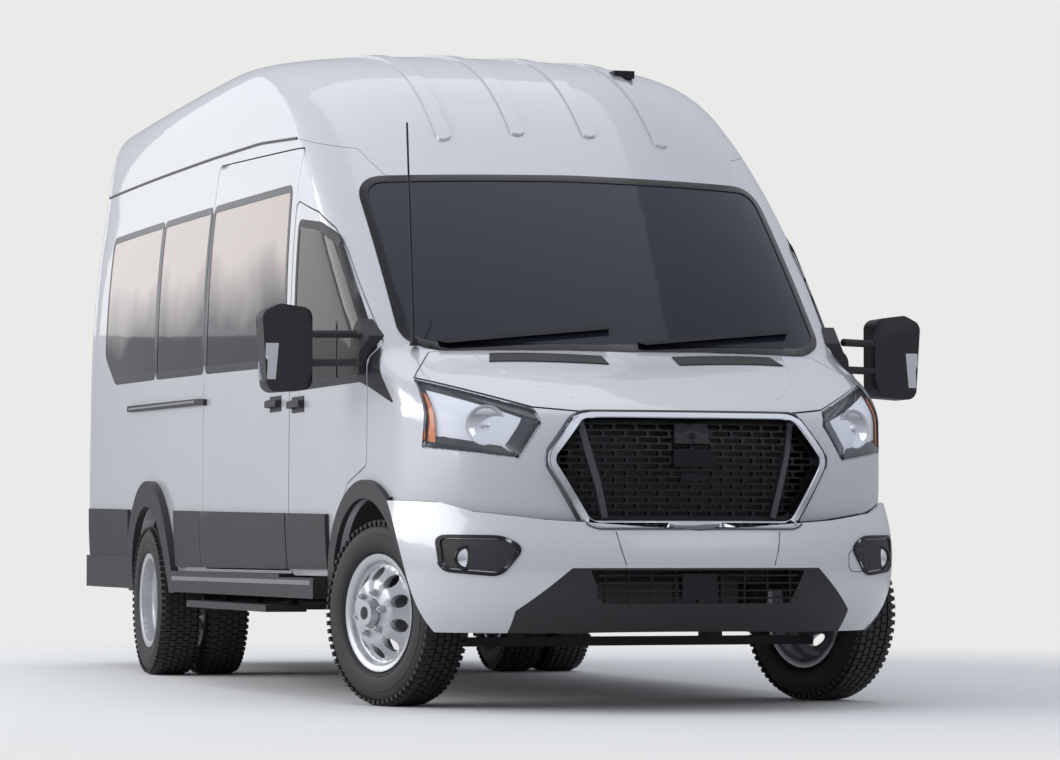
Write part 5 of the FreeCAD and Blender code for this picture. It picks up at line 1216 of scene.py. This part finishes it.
@dataclass(frozen=True)
class SideTrim:
    """Handles, track strip, gutters, sill strips, hood vents and folds, and the roof's pod."""

    handle: Flat = (0.175, 0.032)
    handle_stand: float = 0.026
    handle_bow: float = 0.004
    pad_thick: float = 0.003
    lock_share: float = 0.62
    front_handle: Flat = (-1.396, 1.166)
    sliding_handle: Flat = (-1.045, 1.181)
    barrel: Outline = ((POLE, -0.005), (0.014, -0.005), (0.014, 0.012), (0.010, 0.016), (POLE, 0.016))
    gutter: Outline = ((-1.113, 2.268), (-0.469, 2.313), (0.455, 2.342), (1.668, 2.372), (3.180, 2.408))
    gutter_width: float = 0.012
    gutter_turn: float = 0.12
    gutter_step: float = 0.08
    gutter_spread: float = 0.006
    seal_thick: float = 0.003
    sill: Outline = ((-1.78, 0.448), (0.83, 0.448), (0.83, 0.466), (-1.78, 0.466))
    sill_thick: float = 0.002
    track: Outline = ((0.40, 1.2455), (1.2, 1.2565), (1.98, 1.2675))
    track_width: float = 0.012
    vent: Outline = ((0.140, -2.625), (0.560, -2.560), (0.585, -2.640), (0.140, -2.715))
    vent_thick: float = 0.004
    fold: Outline = ((0.62, -2.55), (0.56, -2.80), (0.40, -3.06))
    fold_turn: float = 0.2
    fold_width: float = 0.012
    fold_thick: float = 0.0015
    pod_place: Flat = (0.505, -0.945)
    pod_low: Spot = (-0.045, -0.05, -0.01)
    pod_high: Spot = (0.045, 0.05, 0.022)

    def grip(self, lay: Lay, place: Flat) -> tuple[Shell, Shell]:
        """Door handle: a dark bar on its pad, with a bright lock barrel.

        Args:
            lay: Lay on the door's side.
            place: Middle of the handle in length and height.

        Returns:
            The dark piece and the bright piece.
        """
        along, level = place
        length, width = self.handle
        start, end = along - length / 2, along + length / 2
        pad = lay.panel([(start, level - width), (end, level - width), (end, level + width),
                         (start, level + width)], self.pad_thick)
        path = flat_points([(start, level), (along, level + self.handle_bow), (end, level)])
        grip = lay.ribbon(path, width, self.handle_stand, False)
        met, normal = lay.surface.meet(lay.lift(along + length * self.lock_share, level), lay.way)
        return Shell.joined([pad, grip]), lathe(self.barrel, 24).moved(facing(met, normal))

    def build(self) -> None:
        """Make the side's fittings."""
        body = Body.BODY.value
        for side, word in SIDES.items():
            dark, shiny = self.grip(from_side(Surface([f"front_door_{word}"]), side), self.front_handle)
            add_piece(f"front_handle_{word}", dark, BLACK, Body.FRONT_DOOR.on(side))
            add_piece(f"front_lock_{word}", shiny, BRIGHT, Body.FRONT_DOOR.on(side))
            skin = from_side(Surface([f"side_{word}", "roof", "cab_frame", "rear_frame"]), side,
                             self.gutter_spread)
            path = rounded_path(self.gutter, self.gutter_turn, closed=False, spacing=self.gutter_step)
            seal = skin.ribbon(path, self.gutter_width, self.seal_thick, False)
            add_piece(f"gutter_seal_{word}", seal, SATIN_BLACK, body)
        dark, shiny = self.grip(from_side(Surface(["sliding_door"]), RIGHT), self.sliding_handle)
        add_piece("sliding_handle", dark, BLACK, body)
        add_piece("sliding_lock", shiny, BRIGHT, body)
        for side, word in SIDES.items():
            strip = from_side(Surface(["sills"]), side).panel(self.sill, self.sill_thick, (10, 1))
            add_piece(f"sill_strip_{word}", strip, SILVER, body)
        track = from_side(Surface(["side_cladding"]), RIGHT)
        strip = track.ribbon(flat_points(self.track), self.track_width, self.seal_thick, False)
        add_piece("track_strip", strip, CHROME, body)
        hood = from_above(Surface(["hood"]))
        for side, word in SIDES.items():
            vent = hood.panel(flip(self.vent, side), self.vent_thick, (28, 8))
            add_piece(f"hood_vent_{word}", vent, SATIN_BLACK, Body.HOOD.value)
            path = rounded_path(flip(self.fold, side), self.fold_turn, closed=False)
            fold = hood.ribbon(path, self.fold_width, self.fold_thick, False)
            add_piece(f"hood_fold_{word}", fold, PAINT, Body.HOOD.value)
        met, _ = Surface(["roof"]).meet(Vector((*self.pod_place, OUT_OF_REACH)), -UP)
        add_piece("roof_pod", bar(met + Vector(self.pod_low), met + Vector(self.pod_high)), SATIN_BLACK, body)


@dataclass(frozen=True)
class MirrorTrim:
    """Side lamps and glass of the mirrors."""

    lamp_shares: Flat = (0.86, 0.45)
    lamp_insets: tuple[float, ...] = (0.008, 0.050, 0.062, 0.012)
    lamp_thick: float = 0.0015
    glass_insets: Flat = (0.02, 0.17)
    glass_levels: Flat = (1.225, 1.475)
    glass_depths: Flat = (-0.002, 0.001)

    def build(self) -> None:
        """Make both mirrors' fittings."""
        for side, word in SIDES.items():
            low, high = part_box(f"mirror_{word}")
            outer = low.x if side == RIGHT else high.x
            foot, top = (high.z - (high.z - low.z) * share for share in self.lamp_shares)
            levels = (foot, foot, top, top)
            corners = [(outer - side * inset, level) for inset, level in zip(self.lamp_insets, levels)]
            lamp = from_front(Surface([f"mirror_{word}"])).panel(corners, self.lamp_thick, (5, 8))
            add_piece(f"mirror_lamp_{word}", lamp, BRIGHT, Body.FRONT_DOOR.on(side))
            near, far = sorted(outer - side * inset for inset in self.glass_insets)
            glass = bar(Vector((near, high.y + self.glass_depths[0], self.glass_levels[0])),
                        Vector((far, high.y + self.glass_depths[1], self.glass_levels[1])))
            add_piece(f"mirror_glass_{word}", glass, BRIGHT, Body.FRONT_DOOR.on(side))


@dataclass(frozen=True)
class Studio:
    """Floor, world, lamps and the camera at the photograph's angle."""

    eye: tuple[float, float, float] = (-4.5946, -16.0442, 0.5827)
    yaw: float = 17.275
    pitch: float = 2.594
    lens: float = 127.8
    sensor: float = 36.0
    backdrop: float = 0.823
    floor_half: float = 14.0
    fade_start: float = 3.4
    fade_end: float = 6.2
    low_light: Colour = (0.20, 0.20, 0.21)
    high_light: Colour = (0.66, 0.69, 0.76)
    lamps: tuple[tuple[str, Spot, Spot, Flat, float], ...] = (
        ("side_lamp", (-10.0, 2.5, 4.5), (-0.8, 0.5, 1.5), (14.0, 6.0), 760),
        ("side_card", (-4.2, 10.0, 4.2), (-3.0, 0.0, 2.6), (5.0, 4.0), 36),
        ("front_lamp", (3.5, -11.0, 5.5), (0.2, -2.6, 1.0), (6.0, 3.0), 35),
        ("top_lamp", (0.0, 0.5, 8.5), (0.0, 0.0, 1.5), (6.0, 9.0), 90))

    def floor(self) -> None:
        """Pale floor that fades into the backdrop."""
        half = self.floor_half
        mesh = bpy.data.meshes.new("floor_plane")
        corners = [(-half, -half, 0), (half, -half, 0), (half, half, 0), (-half, half, 0)]
        mesh.from_pydata(corners, [], [(0, 1, 2, 3)])
        plane = bpy.data.objects.new("floor_plane", mesh)
        bpy.context.scene.collection.objects.link(plane)
        material = bpy.data.materials.new("studio_floor")
        material.use_nodes = True
        graph = Graph(material.node_tree)
        flat = graph.node("ShaderNodeVectorMath", {"operation": "MULTIPLY"},
                          {0: graph.place(), 1: (1.0, 0.8, 0.0)})
        reach = graph.node("ShaderNodeVectorMath", {"operation": "LENGTH"}, {0: flat}, "Value")
        solid = 1 - graph.within(reach, self.fade_start, self.fade_end)
        paint = graph.node("ShaderNodeBsdfPrincipled", {},
                           {"Base Color": (0.84, 0.84, 0.83), "Roughness": 0.9, "Specular IOR Level": 0.1})
        clear = graph.node("ShaderNodeBsdfTransparent", {}, {})
        shader = graph.node("ShaderNodeMixShader", {}, {0: solid, 1: clear, 2: paint})
        graph.node("ShaderNodeOutputMaterial", {}, {"Surface": shader})
        mesh.materials.append(material)

    def world(self) -> None:
        """Pale world that is brighter above than below."""
        world = bpy.data.worlds.new("studio_world")
        world.use_nodes = True
        bpy.context.scene.world = world
        graph = Graph(world.node_tree)
        direction = graph.node("ShaderNodeTexCoord", {}, {}, "Generated")
        height = graph.node("ShaderNodeSeparateXYZ", {}, {0: direction}, 2)
        rise = graph.within(height, -0.25, 0.55)
        light = graph.mix(rise, self.low_light, self.high_light)
        plain = (self.backdrop, self.backdrop, self.backdrop * 0.99)
        seen = graph.node("ShaderNodeLightPath", {}, {}, "Is Camera Ray")
        shown = graph.mix(seen, light, plain)
        sky = graph.node("ShaderNodeBackground", {}, {"Color": shown, "Strength": 1.0})
        graph.node("ShaderNodeOutputWorld", {}, {"Surface": sky})

    def lamp(self, name: str, spot: Spot, target: Spot, size: Flat, power: float) -> None:
        """Area lamp that faces a target.

        Args:
            name: The lamp's name.
            spot: Where it hangs.
            target: What it faces.
            size: Its width and height.
            power: Its power in watts.
        """
        data = bpy.data.lights.new(name, "AREA")
        data.shape = "RECTANGLE"
        data.size, data.size_y = size
        data.energy = power
        lamp = bpy.data.objects.new(name, data)
        bpy.context.scene.collection.objects.link(lamp)
        lamp.location = spot
        lamp.rotation_mode = "QUATERNION"
        lamp.rotation_quaternion = (Vector(target) - Vector(spot)).to_track_quat("-Z", "Y")

    def camera(self) -> None:
        """Camera of the photograph."""
        data = bpy.data.cameras.new("camera")
        data.lens = self.lens
        data.sensor_width = self.sensor
        data.sensor_fit = "HORIZONTAL"
        data.clip_end = 200
        eye = bpy.data.objects.new("camera", data)
        bpy.context.scene.collection.objects.link(eye)
        eye.location = self.eye
        eye.rotation_euler = (math.radians(90 + self.pitch), 0, math.radians(-self.yaw))
        bpy.context.scene.camera = eye

    def build(self) -> None:
        """Set up the studio."""
        bpy.context.scene.view_settings.view_transform = "Standard"
        self.floor()
        self.world()
        for name, spot, target, size, power in self.lamps:
            self.lamp(name, spot, target, size, power)
        self.camera()


@dataclass(frozen=True)
class Seats:
    """Padded seats, one shape repeated at every place."""

    width: float = 0.430
    depth: float = 0.440
    cushion: float = 0.110
    back: float = 0.620
    back_thick: float = 0.095
    head: tuple[float, float, float] = (0.240, 0.080, 0.170)
    lean: float = math.radians(12)
    base: float = 1.015
    voxel: float = 0.016
    pressure: float = 4.0
    frames: int = 20
    cap: float = 0.022
    shrink: float = 0.012
    half_body: float = 1.03
    cab_along: float = -1.330
    cab_shares: Flat = (-0.5, 0.5)
    row_start: float = -0.330
    row_pitch: float = 0.8
    row_shares: tuple[tuple[float, ...], ...] = ((-0.66, 0.14, 0.62),) * 3 + ((-0.66, -0.2, 0.2, 0.66),)

    def places(self) -> dict[str, list[Vector]]:
        """Where seats stand.

        Returns:
            Places by the name of their row.
        """
        rows = {"cab": [Vector((share * self.half_body, self.cab_along, 0)) for share in self.cab_shares]}
        for number, shares in enumerate(self.row_shares):
            along = self.row_start + number * self.row_pitch
            rows[f"row_{number + 1}"] = [Vector((share * self.half_body, along, 0)) for share in shares]
        return rows

    def pads(self) -> list[Shell]:
        """Plain blocks of a seat at x and y zero.

        Returns:
            The cushion, the back and the head rest.
        """
        inset = Vector((self.shrink, self.shrink, self.shrink))
        half = self.width / 2
        top = self.base + self.cushion
        wide, deep, tall = self.head
        cushion = bar(Vector((-half, -self.depth, self.base)) + inset, Vector((half, 0, top)) - inset)
        back = bar(Vector((-half, 0, 0)) + inset, Vector((half, self.back_thick, self.back)) - inset)
        head = bar(Vector((-wide / 2, 0, self.back)) + inset,
                   Vector((wide / 2, deep, self.back + tall)) - inset)
        foot = math.tan(self.lean) * self.cushion - self.back_thick * 1.2
        place = shift(0, foot, top) @ Matrix.Rotation(-self.lean, 4, "X")
        return [cushion, back.moved(place), head.moved(place)]

    @staticmethod
    def baked(piece: bpy.types.Object) -> bpy.types.Mesh:
        """Mesh of a piece with its modifiers."""
        return bpy.data.meshes.new_from_object(piece.evaluated_get(bpy.context.evaluated_depsgraph_get()))

    def puffed(self, shell: Shell) -> Shell:
        """Block swollen by cloth under pressure, with its travel capped.

        Args:
            shell: The plain block.

        Returns:
            The swollen block.
        """
        mesh = bpy.data.meshes.new("pad")
        mesh.from_pydata([tuple(point) for point in shell.points], [], shell.faces)
        weld(mesh, True)
        pad = bpy.data.objects.new("pad", mesh)
        bpy.context.scene.collection.objects.link(pad)
        remesh = pad.modifiers.new("even", "REMESH")
        remesh.mode = "VOXEL"
        remesh.voxel_size = self.voxel
        even = self.baked(pad)
        pad.modifiers.clear()
        pad.data = even
        rest = [vertex.co.copy() for vertex in even.vertices]
        moved = rest
        cloth = pad.modifiers.new("swell", "CLOTH")
        cloth.settings.use_pressure = True
        cloth.settings.uniform_pressure_force = self.pressure
        cloth.settings.effector_weights.gravity = 0
        scene = bpy.context.scene
        for step in range(1, self.frames + 1):
            scene.frame_set(step)
        swollen = self.baked(pad)
        moved = []
        for before, vertex in zip(rest, swollen.vertices):
            travel = vertex.co - before
            moved.append(before + travel * min(1.0, self.cap / max(travel.length, 1e-9)))
        scene.frame_set(1)
        result = Shell(moved, [face.vertices for face in even.polygons])
        bpy.data.objects.remove(pad)
        return result

    def build(self) -> None:
        """Make every row of seats."""
        seat = Shell.joined(self.puffed(pad) for pad in self.pads())
        for row, spots in self.places().items():
            whole = Shell.joined(seat.moved(Matrix.Translation(spot)) for spot in spots)
            piece = add_piece(f"seats_{row}", whole, CLOTH, Body.BODY.value, ("seats",), math.radians(60))


PANELS = (
    Panels(PAINT, ("roof", "roof_ribs", "side_right", "side_left", "rear_frame", "sliding_door",
                   "front_door_right", "front_door_left", "cab_frame", "hood", "wings", "front_bumper",
                   "rear_door_right", "rear_door_left", "hinge_posts")),
    Panels(SCREEN_GLASS, ("windscreen",)),
    Panels(SIDE_GLASS, ("side_glass", "rear_glass_right", "rear_glass_left")),
    Panels(DOOR_GLASS, ("front_glass_right", "front_glass_left")),
    Panels(LENS, ("lamp_lenses",)),
    Panels(LAMP_GREY, ("lamp_housings",)),
    Panels(BRIGHT, ("grille_surround",)),
    Panels(SATIN_BLACK, ("grille", "antenna", "wipers")),
    Panels(BLACK, ("front_valance", "arch_flares", "arch_liners", "rear_bumper", "side_cladding",
                   "door_cladding_right", "door_cladding_left", "mirror_right", "mirror_left", "dashboard",
                   "steering_wheel", "sills", "seat_frames")),
    Panels(PRIMER, ("floor",)),
    Panels(CHASSIS, ("frame_rails", "rear_axle", "front_axle", "fuel_tank", "exhaust")),
    Panels(IRON, ("engine", "knuckle_right", "knuckle_left")),
    Panels(STEEL, ("rim_front_right", "rim_front_left", "rims_rear_right", "rims_rear_left")),
    Panels(RED, ("tail_lamps",)),
)


def main() -> None:
    """Build the minibus and its studio in order."""
    logging.basicConfig(level=logging.INFO, format="%(name)s %(message)s")
    for group in PANELS:
        group.build()
    for part in (Wheels(), HeadLamps(), Nose(), BumperTrim(), Glazing(), SideTrim(), MirrorTrim(), Seats(),
                 Studio()):
        part.build()
        LOG.info("%s done", type(part).__name__)


if __name__ == "__main__":
    main()
